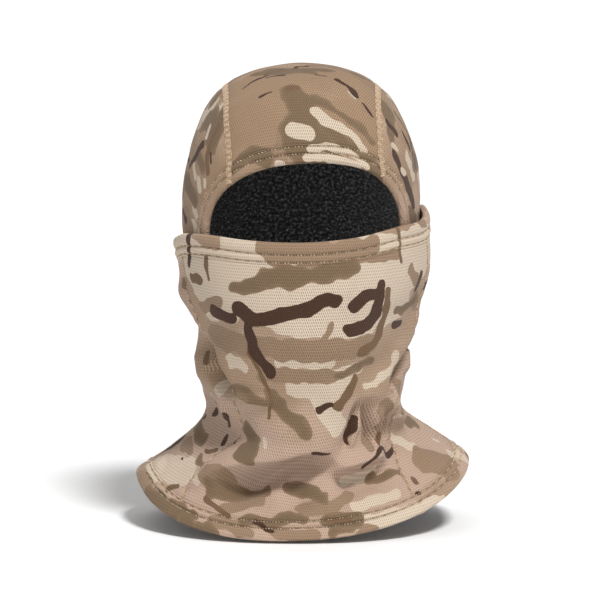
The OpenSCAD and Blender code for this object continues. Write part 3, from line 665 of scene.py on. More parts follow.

# %% [markdown]
# The strokes below are listed one by one where the eye goes first: the brow, the temples, the
# cover, its gussets and the bib. Each is a path in millimetres on the cloth, with a radius at
# its start and its end.

# %% Strokes listed one by one
BY_HAND = {
    "crown": {
        "khaki": [([(-8, 96), (-12, 80), (-16, 66)], 7, 7)],
        "olive": [([(-6, 118), (2, 101), (-2, 82), (12, 67)], 10, 18),
                  ([(8, 114), (25, 106), (40, 98), (53, 89)], 5, 2.5),
                  ([(-50, 66), (-39, 73), (-27, 68)], 6, 7), ([(20, 88), (34, 78), (50, 74)], 6, 5)],
        "brown": [([(-10, 122), (-3, 124)], 3, 2.2)],
        "dark": [([(-44, 138), (-36, 146), (-26, 152)], 1.0, 1.3), ([(-26, 146), (-13, 148)], 1.4, 1.2),
                 ([(-31, 117), (-23, 121)], 1.3, 0.9), ([(11, 147), (18, 146)], 1.2, 1.1),
                 ([(27, 141), (35, 136), (41, 127)], 2.4, 2.0), ([(45, 122), (53, 113)], 1.2, 1.4)],
        "fleck": [([(-6, 87), (5, 84)], 5.2, 4.6),
                  ([(11, 101), (19, 94), (30, 91), (38, 88), (47, 80)], 4.8, 3.2),
                  ([(35, 129), (40, 124)], 0.9, 1.2),
                  ([(6, 73), (22, 76), (36, 72), (47, 66)], 3.6, 2.6),
                  ([(4, 66), (20, 68), (40, 63)], 3.4, 3.0), ([(-18, 62), (-14, 60)], 2.6, 2.2),
                  ([(18, 54), (34, 53)], 2.4, 1.6)],
    },
    "sides": {
        "khaki": [([(-118, -10), (-104, 10), (-100, 30)], 12, 12), ([(96, -52), (108, -40)], 7, 6)],
        "olive": [([(-116, -84), (-104, -92), (-92, -84)], 8, 9),
                  ([(-124, -40), (-112, -36), (-98, -32)], 9, 7),
                  ([(-92, -112), (-86, -98), (-82, -84)], 9, 8),
                  ([(86, -84), (96, -94), (108, -96)], 6, 8), ([(100, -20), (112, -10)], 6, 8),
                  ([(-98, -66), (-90, -60)], 6, 5)],
        "cream": [([(-100, -98), (-96, -104)], 4, 3), ([(106, -62), (118, -46)], 4, 6),
                  ([(-108, -56), (-101, -48)], 3.5, 3),
                  ([(-114, -36), (-100, -26), (-92, -18)], 2.6, 3)],
        "brown": [([(-84, -92), (-88, -74), (-82, -60)], 2.2, 2.8), ([(122, -90), (128, -70)], 3, 2)],
        "dark": [([(-120, -52), (-109, -62), (-98, -73)], 2.4, 3.4), ([(90, -93), (97, -82)], 2.6, 3.4),
                 ([(114, -76), (118, -65)], 2.4, 2.8), ([(130, -58), (131, -50)], 2.4, 2.2),
                 ([(85, -73), (92, -60), (98, -47), (106, -34), (112, -24)], 2.6, 5.0),
                 ([(-82, -74), (-80, -68)], 2.2, 1.4)],
        "fleck": [([(-100, -86), (-97, -80)], 2.8, 2.4), ([(-93, -48), (-90, -42)], 3.4, 3.0),
                  ([(-84, -52), (-82, -46)], 2.2, 1.8), ([(-93, -22), (-92, -15)], 1.9, 1.6),
                  ([(84, -77), (92, -72)], 1.5, 1.2), ([(94, -58), (98, -52)], 2.2, 2.6)],
    },
    "front": {
        "cream": [([(-112, 14), (-80, 30), (-45, 24)], 20, 22),
                  ([(-45, 10), (0, 30), (50, 34)], 22, 26), ([(50, 16), (85, 20), (118, 10)], 24, 22),
                  ([(-30, 48), (10, 58), (52, 58)], 14, 13), ([(-82, 52), (-60, 50)], 12, 12),
                  ([(70, 52), (90, 48)], 16, 12), ([(-15, 91), (5, 88), (20, 91)], 4.5, 4.5),
                  ([(46, 94), (36, 96)], 4, 3.5), ([(-4, 108), (14, 112), (28, 104)], 9, 11),
                  ([(18, 118), (25, 140)], 12, 7), ([(52, 112), (69, 105), (81, 98)], 3.5, 3.2),
                  ([(86, 88), (84, 94)], 3.5, 3), ([(33, 184), (46, 182), (59, 180)], 3, 3),
                  ([(41, 209), (56, 206), (77, 203)], 5.5, 4.5),
                  ([(53, 223), (72, 223), (98, 224)], 7, 7), ([(-60, 92), (-46, 96)], 5, 4),
                  ([(-92, 196), (-84, 202)], 4, 4)],
        "khaki": [([(-28, 2), (20, 6), (56, 2)], 8, 7), ([(-22, 12), (30, 11), (80, 11)], 5, 3.5),
                  ([(-84, 76), (-50, 78), (-14, 79)], 9, 9), ([(-14, 79), (20, 80), (56, 78)], 9, 8),
                  ([(14, 74), (20, 66), (24, 60)], 3, 1.4),
                  ([(-30, 101), (0, 99), (26, 101)], 5.5, 5.5),
                  ([(-93, 55), (-82, 50), (-71, 48)], 5, 6),
                  ([(98, 24), (104, 30), (112, 37)], 4.5, 4.5), ([(-76, 197), (-59, 191)], 7, 7),
                  ([(-61, 213), (-43, 207), (-31, 199)], 4.5, 4.5),
                  ([(2, 206), (22, 206), (36, 197)], 6, 6), ([(-64, 226), (-40, 228)], 6, 5),
                  ([(-20, 226), (10, 228)], 5, 4), ([(70, 128), (66, 144)], 6, 7),
                  ([(50, 150), (54, 160)], 5, 5)],
        "olive": [([(-54, 34), (-40, 31), (-26, 26)], 4, 8),
                  ([(-28, 25), (-4, 24), (22, 20), (38, 17)], 9, 6),
                  ([(26, 100), (33, 102), (42, 94), (58, 92)], 3.2, 3),
                  ([(84, 55), (98, 56), (112, 50)], 3.6, 4.5),
                  ([(-52, 114), (-40, 118), (-26, 120)], 5, 4),
                  ([(-24, 116), (-12, 130), (2, 140)], 6.5, 5.5),
                  ([(-44, 146), (-34, 158), (-40, 168)], 6, 9), ([(-78, 140), (-70, 150)], 6, 5),
                  ([(-72, 203), (-49, 197), (-28, 191)], 6, 5),
                  ([(-7, 187), (6, 193), (16, 197)], 6.5, 6),
                  ([(58, 184), (73, 184), (90, 188)], 4, 4.5), ([(-8, 212), (2, 216)], 5, 4),
                  ([(24, 226), (36, 226)], 3.5, 3.5)],
        "brown": [([(71, 36), (71, 56), (62, 76), (48, 84)], 3.2, 4.2),
                  ([(-42, 56), (-41, 78), (-34, 98), (-25, 112)], 1.8, 1.6),
                  ([(-106, 32), (-92, 32)], 3.5, 4.2), ([(-81, 12), (-79, 29)], 1.8, 2.2),
                  ([(80, -8), (82, 6), (84, 16)], 2.0, 1.8),
                  ([(-25, 112), (-23, 122), (-25, 134)], 1.6, 0.9),
                  ([(28, 126), (38, 112), (42, 104)], 3.4, 2.6), ([(62, 150), (63, 164)], 1.2, 1.0),
                  ([(20, 214), (34, 218)], 3, 2.5)],
        "dark": [([(-49, 50), (-42, 55), (-30, 58), (-12, 51), (8, 47), (18, 41), (26, 42)], 5.9, 5.4),
                 ([(-42, 56), (-39, 74), (-32, 88), (-24, 98)], 3.6, 4.8),
                 ([(-77, 55), (-68, 58), (-56, 58)], 5.0, 4.4),
                 ([(62, 34), (62, 48), (59, 58), (50, 65), (37, 64)], 5.2, 5.2),
                 ([(58, 38), (49, 40), (40, 47)], 4.6, 4.4), ([(83, 67), (92, 66)], 3.0, 2.8),
                 ([(13, 127), (23, 124)], 3.0, 2.4), ([(116, 30), (108, 42)], 3, 2.6),
                 ([(-102, -4), (-103, 12), (-109, 22)], 4.0, 3.0), ([(-62, 138), (-58, 142)], 3.0, 2.6),
                 ([(-60, 156), (-57, 161)], 2.6, 2.2), ([(8, 157), (18, 159)], 1.8, 1.2),
                 ([(43, 138), (38, 147), (34, 156)], 2.4, 1.4),
                 ([(47, 175), (56, 168), (64, 163), (70, 168), (76, 171), (86, 166)], 2.4, 2.4),
                 ([(94, 210), (99, 212)], 1.6, 1.6)],
        "fleck": [([(-56, 142), (-52, 152)], 1.8, 1.4), ([(-26, 150), (-24, 156)], 2.0, 1.4),
                  ([(46, 52), (52, 54)], 1.6, 1.4), ([(-66, 150), (-64, 157)], 2.0, 1.8)],
    },
    "gussets": {
        "cream": [([(-124, 6), (-140, 14), (-170, 20)], 12, 14), ([(-78, 117), (-73, 121)], 4, 3.5),
                  ([(-158, 170), (-144, 161)], 3, 3), ([(-158, 206), (-126, 203), (-100, 198)], 12, 11),
                  ([(-150, 120), (-140, 128)], 6, 5), ([(118, 8), (140, 14), (170, 10)], 13, 14),
                  ([(150, 82), (138, 92)], 5, 4), ([(64, 146), (90, 160), (116, 173)], 3.4, 4),
                  ([(90, 138), (80, 147)], 3, 2.4), ([(160, 196), (178, 204)], 6, 5),
                  ([(100, 224), (120, 224)], 6, 5)],
        "khaki": [([(-190, 60), (-160, 66)], 10, 10), ([(-88, 132), (-76, 140)], 6, 5),
                  ([(-130, 178), (-110, 182)], 6, 5), ([(-180, 222), (-150, 224)], 8, 8),
                  ([(115, 184), (130, 194), (142, 202)], 11, 12), ([(150, 112), (126, 122)], 9, 8),
                  ([(160, 50), (180, 60)], 10, 9), ([(98, 120), (92, 134)], 7, 6),
                  ([(150, 226), (190, 220)], 6, 7)],
        "olive": [([(-138, 154), (-122, 164), (-102, 170)], 6, 7), ([(-92, 185), (-82, 188)], 4.5, 4),
                  ([(-146, 226), (-114, 228), (-92, 230)], 6, 7), ([(-126, 38), (-112, 39)], 4, 5),
                  ([(-150, 84), (-136, 92)], 6, 5), ([(-196, 130), (-180, 140)], 8, 8),
                  ([(143, 56), (152, 66)], 5, 5), ([(160, 104), (176, 110)], 7, 7),
                  ([(124, 150), (140, 156)], 5, 5), ([(186, 160), (196, 176)], 8, 7)],
        "brown": [([(-104, 92), (-97, 102)], 1.8, 1.6), ([(-88, 176), (-76, 173)], 2.4, 2.6),
                  ([(-118, 216), (-106, 211)], 2.6, 2), ([(-170, 100), (-160, 118)], 2.6, 2.0),
                  ([(118, 74), (124, 94)], 2.2, 1.8), ([(96, 196), (100, 204)], 1.8, 1.8),
                  ([(170, 136), (176, 150)], 2.6, 2.2)],
        "dark": [([(-127, 151), (-125, 152)], 2.6, 2.6), ([(-110, 146), (-102, 147)], 3.2, 3.4),
                 ([(-67, 138), (-71, 149)], 3.6, 4.4), ([(-72, 160), (-70, 166)], 3.2, 3.0),
                 ([(-180, 188), (-166, 182), (-154, 176)], 5.5, 6),
                 ([(-118, 192), (-115, 191)], 0.9, 0.8), ([(-150, 40), (-140, 54)], 3, 3.4),
                 ([(151, 36), (138, 41), (124, 46)], 3.6, 2.6), ([(96, 210), (99, 212)], 1.6, 1.6),
                 ([(192, 204), (184, 211)], 3, 3), ([(132, 134), (142, 130)], 2.4, 2.0)],
        "fleck": [([(-90, 124), (-86, 130)], 1.8, 1.4), ([(108, 44), (114, 50)], 2.0, 1.6),
                  ([(150, 176), (156, 182)], 1.8, 1.4)],
    },
}
for cloth, layers in BY_HAND.items():
    for layer, strokes in layers.items():
        PRINTS[cloth][layer] = PRINTS[cloth][layer] + strokes
PINKNESS = {"crown": (0.28, 0.0), "sides": (0.42, 0.0), "front": (0.36, 0.34),
            "gussets": (0.6, 0.1), "back": (0.5, 0.1)}
LOBES = {"cream": 2.6, "khaki": 2.4, "olive": 2.4, "brown": 0.9, "dark": 0.9, "fleck": 0.6}


def print_fields(uv, cloth):
    """How far each point lies inside each printed colour, and the ground's own drift."""
    u, v = uv[..., 0], uv[..., 1]
    u = u + 2.2 * lattice_noise(u / 17, v / 13, 3) + 0.5 * lattice_noise(u / 5, v / 5, 4)
    v = v + 2.2 * lattice_noise(u / 15, v / 14, 5) + 0.5 * lattice_noise(u / 5, v / 5, 6)
    fields = {layer: stroke_depth(u, v, PRINTS[cloth][layer]) for layer in LAYERS}
    for layer, lobe in LOBES.items():
        fields[layer] = fields[layer] + lobe * lattice_noise(u / 10, v / 8, 31 + len(layer))
    level, lower = PINKNESS[cloth]
    fields["drift"] = (level + lower * ease((v - 105) / 45) + 0.45 * lattice_noise(u / 62, v / 40, 9)
                       + 0.14 * lattice_noise(u / 18, v / 15, 8))
    return fields


# %% [markdown]
# ## Making meshes
# A knitted layer is a closed shell: an outer grid, an inner grid and a thin wall round the
# edge. Hems and rolled edges are profiles swept along a path, and a stitch is a short arched
# tube whose ends dive into the cloth.

# %% Mesh helpers
def add_piece(name, points, faces, uv, materials, fields=None, face_slots=None, smooth_angle=50):
    """A mesh object from points in millimetres, with cloth coordinates and print fields."""
    mesh = bpy.data.meshes.new(name)
    mesh.from_pydata((np.asarray(points) * MM).tolist(), [], faces)
    mesh.update()
    layer = mesh.uv_layers.new(name="cloth")
    corner = np.empty(len(mesh.loops), np.int32)
    mesh.loops.foreach_get("vertex_index", corner)
    layer.data.foreach_set("uv", (np.asarray(uv) * MM)[corner].astype(np.float32).ravel())
    for key, values in (fields or {}).items():
        attribute = mesh.attributes.new(key, "FLOAT", "POINT")
        attribute.data.foreach_set("value", np.asarray(values, np.float32).ravel())
    for material in materials:
        mesh.materials.append(material)
    if face_slots is not None:
        mesh.polygons.foreach_set("material_index", np.asarray(face_slots, np.int32))
    mesh.polygons.foreach_set("use_smooth", np.ones(len(mesh.polygons), bool))
    mesh.set_sharp_from_angle(angle=math.radians(smooth_angle))
    piece = bpy.data.objects.new(name, mesh)
    bpy.context.scene.collection.objects.link(piece)
    return piece


def turned_out(points, faces):
    """The faces of a closed mesh, all flipped if they point inwards."""
    p = np.asarray(points)
    quads = np.array([f if len(f) == 4 else (*f, f[-1]) for f in faces])
    a, b, c, d = (p[quads[:, k]] for k in range(4))
    volume = np.einsum("ij,ij->i", a + c, np.cross(b - a, d - a) + np.cross(d - c, b - c)).sum()
    return faces if volume > 0 else [f[::-1] for f in faces]


def grid_faces(rows, cols):
    i, j = np.meshgrid(np.arange(rows - 1), np.arange(cols - 1), indexing="ij")
    corner = i * cols + j
    return np.stack([corner, corner + cols, corner + cols + 1, corner + 1], -1).reshape(-1, 4)


def shell(name, outer, inner, uv, material, fields=None):
    """A closed layer of cloth between two grids of the same size."""
    rows, cols = outer.shape[:2]
    count = rows * cols
    points = np.concatenate([outer.reshape(-1, 3), inner.reshape(-1, 3)])
    top = grid_faces(rows, cols)
    index = np.arange(count).reshape(rows, cols)
    rim = np.concatenate([index[0, :], index[1:, -1], index[-1, -2::-1], index[-2::-1, 0]])
    wall = np.stack([rim[:-1], rim[1:], rim[1:] + count, rim[:-1] + count], -1)
    faces = np.concatenate([top, top[:, ::-1] + count, wall[:, ::-1]]).tolist()
    doubled = {k: np.concatenate([v.ravel(), v.ravel()]) for k, v in (fields or {}).items()}
    both = np.concatenate([uv.reshape(-1, 2)] * 2)
    return add_piece(name, points, turned_out(points, faces), both, [material], doubled)


def rounded_profile(profile, cuts=4):
    """A closed profile of (distance, lift) points, turned into a smooth loop."""
    p = np.array(profile, float)
    a, b, c, d = np.roll(p, 1, 0), p, np.roll(p, -1, 0), np.roll(p, -2, 0)
    t = (np.arange(cuts) / cuts)[None, :, None]
    a, b, c, d = (q[:, None] for q in (a, b, c, d))
    curve = 0.5 * (2 * b + (c - a) * t + (2 * a - 5 * b + 4 * c - d) * t**2 + (3 * b - a - 3 * c + d) * t**3)
    return curve.reshape(-1, 2)


def sweep(name, sections, uv, material, fields, ring=False):
    """A closed solid from profile loops along a path, capped unless the path is a ring."""
    stations, around = sections.shape[:2]
    points = sections.reshape(-1, 3)
    index = np.arange(stations * around).reshape(stations, around)
    wrap = np.concatenate([index, index[:, :1]], 1)
    if ring:
        wrap = np.concatenate([wrap, wrap[:1]], 0)
    quads = np.stack([wrap[:-1, :-1], wrap[1:, :-1], wrap[1:, 1:], wrap[:-1, 1:]], -1).reshape(-1, 4).tolist()
    if not ring:
        quads += [index[0].tolist(), index[-1][::-1].tolist()]
    sides = quads if ring else quads[:-2]
    flipped = turned_out(points, sides) is not sides
    faces = [f[::-1] for f in quads] if flipped else quads
    flat = {k: v.ravel() for k, v in fields.items()}
    return add_piece(name, points, faces, uv.reshape(-1, 2), [material], flat)


def threads(name, starts, ends, normals, radius, arch_height, material):
    """Stitches: arched tubes from starts to ends, standing off the cloth along the normals."""
    starts, ends, normals = (np.asarray(a, float) for a in (starts, ends, normals))
    along = ends - starts
    side = np.cross(along, normals)
    side /= np.linalg.norm(side, axis=1, keepdims=True)
    rings = []
    for share, rise, width in ((0.0, -0.9, 0.75), (0.1, -0.1, 1.0), (0.32, 0.85, 1.0), (0.68, 0.85, 1.0),
                               (0.9, -0.1, 1.0), (1.0, -0.9, 0.75)):
        centre = starts + along * share + normals * rise * arch_height
        turns = np.linspace(0, 2 * np.pi, 6, endpoint=False)
        rings.append(np.stack([centre + radius * width * (np.cos(t) * side + np.sin(t) * normals)
                               for t in turns], 1))
    body = np.stack(rings, 1)
    count, ring_count, around = body.shape[:3]
    index = np.arange(count * ring_count * around).reshape(count, ring_count, around)
    wrap = np.concatenate([index, index[:, :, :1]], 2)
    quads = np.stack([wrap[:, :-1, :-1], wrap[:, :-1, 1:], wrap[:, 1:, 1:], wrap[:, 1:, :-1]], -1)
    quads = quads.reshape(-1, 4)
    caps = np.concatenate([index[:, 0], index[:, -1, ::-1]])
    points = body.reshape(-1, 3)
    sample = turned_out(points, quads.tolist())
    faces = sample + (caps if sample[0] != quads[0].tolist() else caps[:, ::-1]).tolist()
    uv = np.stack([np.repeat(np.arange(count) * 2.0, ring_count * around),
                   np.tile(np.repeat(np.linspace(0, 3, ring_count), around), count)], -1)
    return add_piece(name, points, faces, uv, [material])


print("mesh helpers ready;", sum(len(s) for p in PRINTS.values() for s in p.values()), "printed strokes")

# %% [markdown]
# ## Finishes
# The cloth is a matt bird's-eye knit: rows of small pits, each row set half a cell along. The
# print sits on top of it, and the pits catch shade. Both effects are node groups, so the
# panels and the hems share them with their own values. The fleece is nearly black, with
# curled pile whose tips get a painted near-white highlight where the curls would catch light.

# %% Node helpers
def linear(red, green, blue):
    """A colour from everyday 0-255 values, as the linear light values that Blender mixes."""
    return tuple((c / 255 / 12.92 if c / 255 <= 0.04045 else ((c / 255 + 0.055) / 1.055) ** 2.4)
                 for c in (red, green, blue)) + (1.0,)


def new_group(name, inputs, outputs):
    tree = bpy.data.node_groups.new(name, "ShaderNodeTree")
    for label, kind, value in inputs:
        socket = tree.interface.new_socket(name=label, in_out="INPUT", socket_type=kind)
        if value is not None:
            socket.default_value = value
    for label, kind in outputs:
        tree.interface.new_socket(name=label, in_out="OUTPUT", socket_type=kind)
    return tree, tree.nodes.new("NodeGroupInput"), tree.nodes.new("NodeGroupOutput")


def node(tree, kind, inputs=(), **settings):
    """A node with its settings, and its inputs linked or given values."""
    made = tree.nodes.new(kind)
    for key, value in settings.items():
        setattr(made, key, value)
    for key, value in dict(inputs).items():
        if isinstance(value, bpy.types.NodeSocket):
            tree.links.new(value, made.inputs[key])
        else:
            made.inputs[key].default_value = value
    return made


def maths(tree, operation, a, b=0.0, c=0.0):
    return node(tree, "ShaderNodeMath", {0: a, 1: b, 2: c}, operation=operation).outputs[0]


def ramp_between(tree, value, low, high):
    """0 below low, 1 above high, smooth between."""
    made = node(tree, "ShaderNodeMapRange", {"Value": value, "From Min": low, "From Max": high},
                interpolation_type="SMOOTHSTEP")
    return made.outputs["Result"]


def mixed(tree, share, a, b):
    made = node(tree, "ShaderNodeMix", data_type="RGBA")
    for key, value in (("Factor", share), ("A", a), ("B", b)):
        kind = "VALUE" if key == "Factor" else "RGBA"
        socket = next(s for s in made.inputs if s.name == key and s.type == kind)
        if isinstance(value, bpy.types.NodeSocket):
            tree.links.new(value, socket)
        else:
            socket.default_value = value
    return next(s for s in made.outputs if s.type == "RGBA")


# %% Print group
KHAKI, PINK_TAN = linear(150, 124, 100), linear(182, 155, 136)
OLIVE, CREAM = linear(120, 98, 74), linear(208, 190, 169)
BROWN, DARK = linear(116, 89, 63), linear(66, 39, 23)
EDGE_BLUR = 0.3

print_group, given, result = new_group(
    "Printed camouflage",
    [("Ground", "NodeSocketColor", KHAKI), ("Second ground", "NodeSocketColor", PINK_TAN),
     ("Drift", "NodeSocketFloat", 0.5), ("Olive", "NodeSocketFloat", -9), ("Cream", "NodeSocketFloat", -9),
     ("Khaki", "NodeSocketFloat", -9),
     ("Brown", "NodeSocketFloat", -9), ("Dark", "NodeSocketFloat", -9), ("Fleck", "NodeSocketFloat", -9),
     ("Vector", "NodeSocketVector", None)],
    [("Color", "NodeSocketColor")])
mottle = node(print_group, "ShaderNodeTexNoise",
              {"Vector": given.outputs["Vector"], "Scale": 900, "Detail": 2})
grain_share = ramp_between(print_group, mottle.outputs["Fac"], 0.35, 0.65)
tone = maths(print_group, "ADD", given.outputs["Drift"],
             maths(print_group, "MULTIPLY_ADD", grain_share, 0.24, -0.12))
colour = mixed(print_group, ramp_between(print_group, tone, 0.3, 0.75), given.outputs["Ground"],
               given.outputs["Second ground"])
shade_share = ramp_between(print_group, maths(print_group, "MULTIPLY_ADD", grain_share, 1.6,
                                              given.outputs["Olive"]), -0.5, 4.5)
olive_colour = mixed(print_group, shade_share, linear(141, 116, 91), OLIVE)
PAINTS = {"Cream": CREAM, "Khaki": KHAKI, "Olive": olive_colour, "Brown": BROWN, "Dark": DARK,
          "Fleck": CREAM}
for label, paint in PAINTS.items():
    inside = ramp_between(print_group, given.outputs[label], -EDGE_BLUR, EDGE_BLUR)
    colour = mixed(print_group, inside, colour, paint)
print_group.links.new(colour, result.inputs["Color"])

# %% Knit group
knit_group, given, result = new_group(
    "Birdseye knit",
    [("Vector", "NodeSocketVector", None), ("Cell width", "NodeSocketFloat", 0.00135),
     ("Cell height", "NodeSocketFloat", 0.0019)],
    [("Height", "NodeSocketFloat"), ("Pits", "NodeSocketFloat")])
sway = node(knit_group, "ShaderNodeTexNoise", {"Vector": given.outputs["Vector"], "Scale": 120, "Detail": 1})
swayed = node(knit_group, "ShaderNodeVectorMath", {0: sway.outputs["Color"], 1: (0.0007, 0.0007, 0)},
              operation="MULTIPLY")
moved = node(knit_group, "ShaderNodeVectorMath", {0: given.outputs["Vector"], 1: swayed.outputs[0]},
             operation="ADD")
apart = node(knit_group, "ShaderNodeSeparateXYZ", {0: moved.outputs[0]})
across = maths(knit_group, "DIVIDE", apart.outputs[0], given.outputs["Cell width"])
down = maths(knit_group, "DIVIDE", apart.outputs[1], given.outputs["Cell height"])
odd_row = maths(knit_group, "FLOORED_MODULO", maths(knit_group, "FLOOR", down), 2.0)
stagger = maths(knit_group, "MULTIPLY", odd_row, 0.5)
fy = maths(knit_group, "SUBTRACT", maths(knit_group, "FRACT", down), 0.5)
fx = maths(knit_group, "SUBTRACT", maths(knit_group, "FRACT", maths(knit_group, "ADD", across, stagger)), 0.5)
slanted = maths(knit_group, "MULTIPLY", maths(knit_group, "MULTIPLY_ADD", fy, -0.3, fx), 1.9)
spread = maths(knit_group, "ADD", maths(knit_group, "MULTIPLY", slanted, slanted),
               maths(knit_group, "MULTIPLY", fy, fy))
hill = ramp_between(knit_group, maths(knit_group, "SQRT", spread), 0.16, 0.56)
knit_group.links.new(hill, result.inputs["Height"])
knit_group.links.new(maths(knit_group, "SUBTRACT", 1.0, hill), result.inputs["Pits"])

# %% Fuzz group
fuzz_group, given, result = new_group(
    "Brushed fuzz",
    [("Vector", "NodeSocketVector", None), ("Scale", "NodeSocketFloat", 900.0)],
    [("Height", "NodeSocketFloat"), ("Tips", "NodeSocketFloat")])
fine = node(fuzz_group, "ShaderNodeTexNoise", {
    "Vector": given.outputs["Vector"], "Scale": given.outputs["Scale"], "Detail": 4, "Roughness": 0.65})
fuzz_group.links.new(fine.outputs["Fac"], result.inputs["Height"])
fuzz_group.links.new(ramp_between(fuzz_group, fine.outputs["Fac"], 0.46, 0.68), result.inputs["Tips"])


# %% Materials
def new_material(name, roughness, sheen=0.0, sheen_roughness=0.5):
    material = bpy.data.materials.new(name)
    material.use_nodes = True
    tree = material.node_tree
    shader = tree.nodes["Principled BSDF"]
    shader.inputs["Roughness"].default_value = roughness
    shader.inputs["Specular IOR Level"].default_value = 0.25
    shader.inputs["Sheen Weight"].default_value = sheen
    shader.inputs["Sheen Roughness"].default_value = sheen_roughness
    return material, tree, shader


def placed(tree, group, inputs):
    made = tree.nodes.new("ShaderNodeGroup")
    made.node_tree = group
    for key, value in inputs.items():
        if isinstance(value, bpy.types.NodeSocket):
            tree.links.new(value, made.inputs[key])
        else:
            made.inputs[key].default_value = value
    return made


def printed_knit(name, ground, second, pit_shade, bump_depth):
    """The printed cloth: print fields from the mesh, knit pits and a little fuzz."""
    material, tree, shader = new_material(name, 0.88, 0.1, 0.45)
    uv = node(tree, "ShaderNodeUVMap", uv_map="cloth").outputs["UV"]
    fields = {k.capitalize(): node(tree, "ShaderNodeAttribute", attribute_name=k).outputs["Fac"]
              for k in (*LAYERS, "drift")}
    pattern = placed(tree, print_group, {"Ground": ground, "Second ground": second, "Vector": uv, **fields})
    knit = placed(tree, knit_group, {"Vector": uv, "Cell width": 0.0016, "Cell height": 0.0023})
    fuzz = placed(tree, fuzz_group, {"Vector": uv, "Scale": 1500.0})
    shaded = mixed(tree, maths(tree, "MULTIPLY", knit.outputs["Pits"], pit_shade), pattern.outputs["Color"],
                   linear(66, 50, 38))
    lit = mixed(tree, maths(tree, "MULTIPLY", fuzz.outputs["Tips"], 0.04), shaded, linear(232, 220, 205))
    tree.links.new(lit, shader.inputs["Base Color"])
    height = maths(tree, "MULTIPLY_ADD", fuzz.outputs["Height"], 0.35, knit.outputs["Height"])
    bump = node(tree, "ShaderNodeBump", {"Height": height, "Strength": 0.75, "Distance": bump_depth})
    tree.links.new(bump.outputs["Normal"], shader.inputs["Normal"])
    return material


camo_hood = printed_knit("camo_knit_hood", linear(158, 130, 102), linear(182, 154, 131), 0.5, 0.0008)
camo_cover = printed_knit("camo_knit_cover", linear(168, 141, 116), linear(188, 161, 142), 0.5, 0.0008)
camo_hem = printed_knit("camo_knit_hem", linear(160, 133, 108), linear(186, 159, 139), 0.4, 0.0006)

fleece, tree, shader = new_material("black_fleece", 0.95, 0.5, 0.6)
fleece_uv = node(tree, "ShaderNodeUVMap", uv_map="cloth").outputs["UV"]
curl = placed(tree, fuzz_group, {"Vector": fleece_uv, "Scale": 430.0})
# The curl tips are mixed to near white: a painted highlight over the fleece's dark colour.
fleece_and_painted_tip_highlight = mixed(tree, curl.outputs["Tips"], linear(70, 70, 72), linear(238, 238, 240))
tree.links.new(fleece_and_painted_tip_highlight, shader.inputs["Base Color"])
bump = node(tree, "ShaderNodeBump", {"Height": curl.outputs["Height"], "Strength": 1.0, "Distance": 0.0022})
tree.links.new(bump.outputs["Normal"], shader.inputs["Normal"])


def twisted_thread(name, light, dark):
    """Polyester thread: two plies twisted, so slanting lines of light and shade run round it."""
    material, tree, shader = new_material(name, 0.55, 0.3, 0.4)
    uv = node(tree, "ShaderNodeUVMap", uv_map="cloth").outputs["UV"]
    ply = node(tree, "ShaderNodeTexWave", {"Vector": uv, "Scale": 900.0, "Distortion": 1.5})
    tree.links.new(mixed(tree, ply.outputs["Fac"], dark, light), shader.inputs["Base Color"])
    bump = node(tree, "ShaderNodeBump", {"Height": ply.outputs["Fac"], "Strength": 0.5, "Distance": 0.0002})
    tree.links.new(bump.outputs["Normal"], shader.inputs["Normal"])
    return material


hem_thread = twisted_thread("hem_thread", linear(218, 198, 168), linear(150, 126, 98))
seam_thread = twisted_thread("seam_thread", linear(214, 188, 158), linear(158, 130, 103))
print("materials:", [m.name for m in (camo_hood, camo_cover, camo_hem, fleece, hem_thread, seam_thread)])

# %% [markdown]
# ## The three edges
# Each hem is described once, as a line: a place along the edge, a distance into the cloth and
# a lift give a point. The hem's roll and its rows of stitches both use the same line, so they
# stay together whatever the folds do.

# %% Eye, mouth and bib lines
EYE_SPACING = 1.4
eye_length = EYE_SPACING * (len(eye_edge) - 1)


def on_crown(p):
    return (np.abs(p[..., 0] - seam_x(p[..., 2], 0, True)) < SEAM_HALF) & (p[..., 2] > 20)


def eye_line(run, distance, lift):
    at = np.asarray(run, float) / EYE_SPACING
    places = np.arange(len(eye_edge))
    edge = np.stack([np.interp(at, places, eye_edge[:, k]) for k in range(3)], -1)
    away = np.stack([np.interp(at, places, edge_out[:, k]) for k in range(3)], -1)
    p = to_hood(edge + away * np.asarray(distance, float)[..., None])
    uv = np.where(on_crown(p)[..., None], crown_uv(p), side_uv(p))
    return hood(p, lift), uv


def mouth_depth(angle):
    """Depth of the face cover's top edge."""
    return -smooth(EDGE_HEIGHT, angle)


MOUTH_END = 97.5
mouth_angles = np.linspace(-MOUTH_END, MOUTH_END, 800)
mouth_path = neck(mouth_angles, mouth_depth(mouth_angles))[0]
mouth_run = np.concatenate([[0], np.cumsum(np.linalg.norm(np.diff(mouth_path, axis=0), axis=1))])


def mouth_line(run, distance, lift):
    angle = np.interp(run, mouth_run, mouth_angles)
    return neck(angle, mouth_depth(angle) + distance, lift)


BIB_EDGE = 225.0
bib_angles = np.linspace(-180, 180, 1441)
bib_path = neck(bib_angles, BIB_EDGE)[0]
bib_run = np.concatenate([[0], np.cumsum(np.linalg.norm(np.diff(bib_path, axis=0), axis=1))])
bib_slope = np.linalg.norm(neck(bib_angles, 224.0)[0] - neck(bib_angles, 208.0)[0], axis=-1) / 16


def bib_line(run, distance, lift):
    angle = np.interp(run, bib_run, bib_angles)
    return neck(angle, BIB_EDGE - distance / np.interp(run, bib_run, bib_slope), lift)


print("edge lengths in mm: eyes", round(eye_length), "mouth", round(mouth_run[-1]), "bib", round(bib_run[-1]))


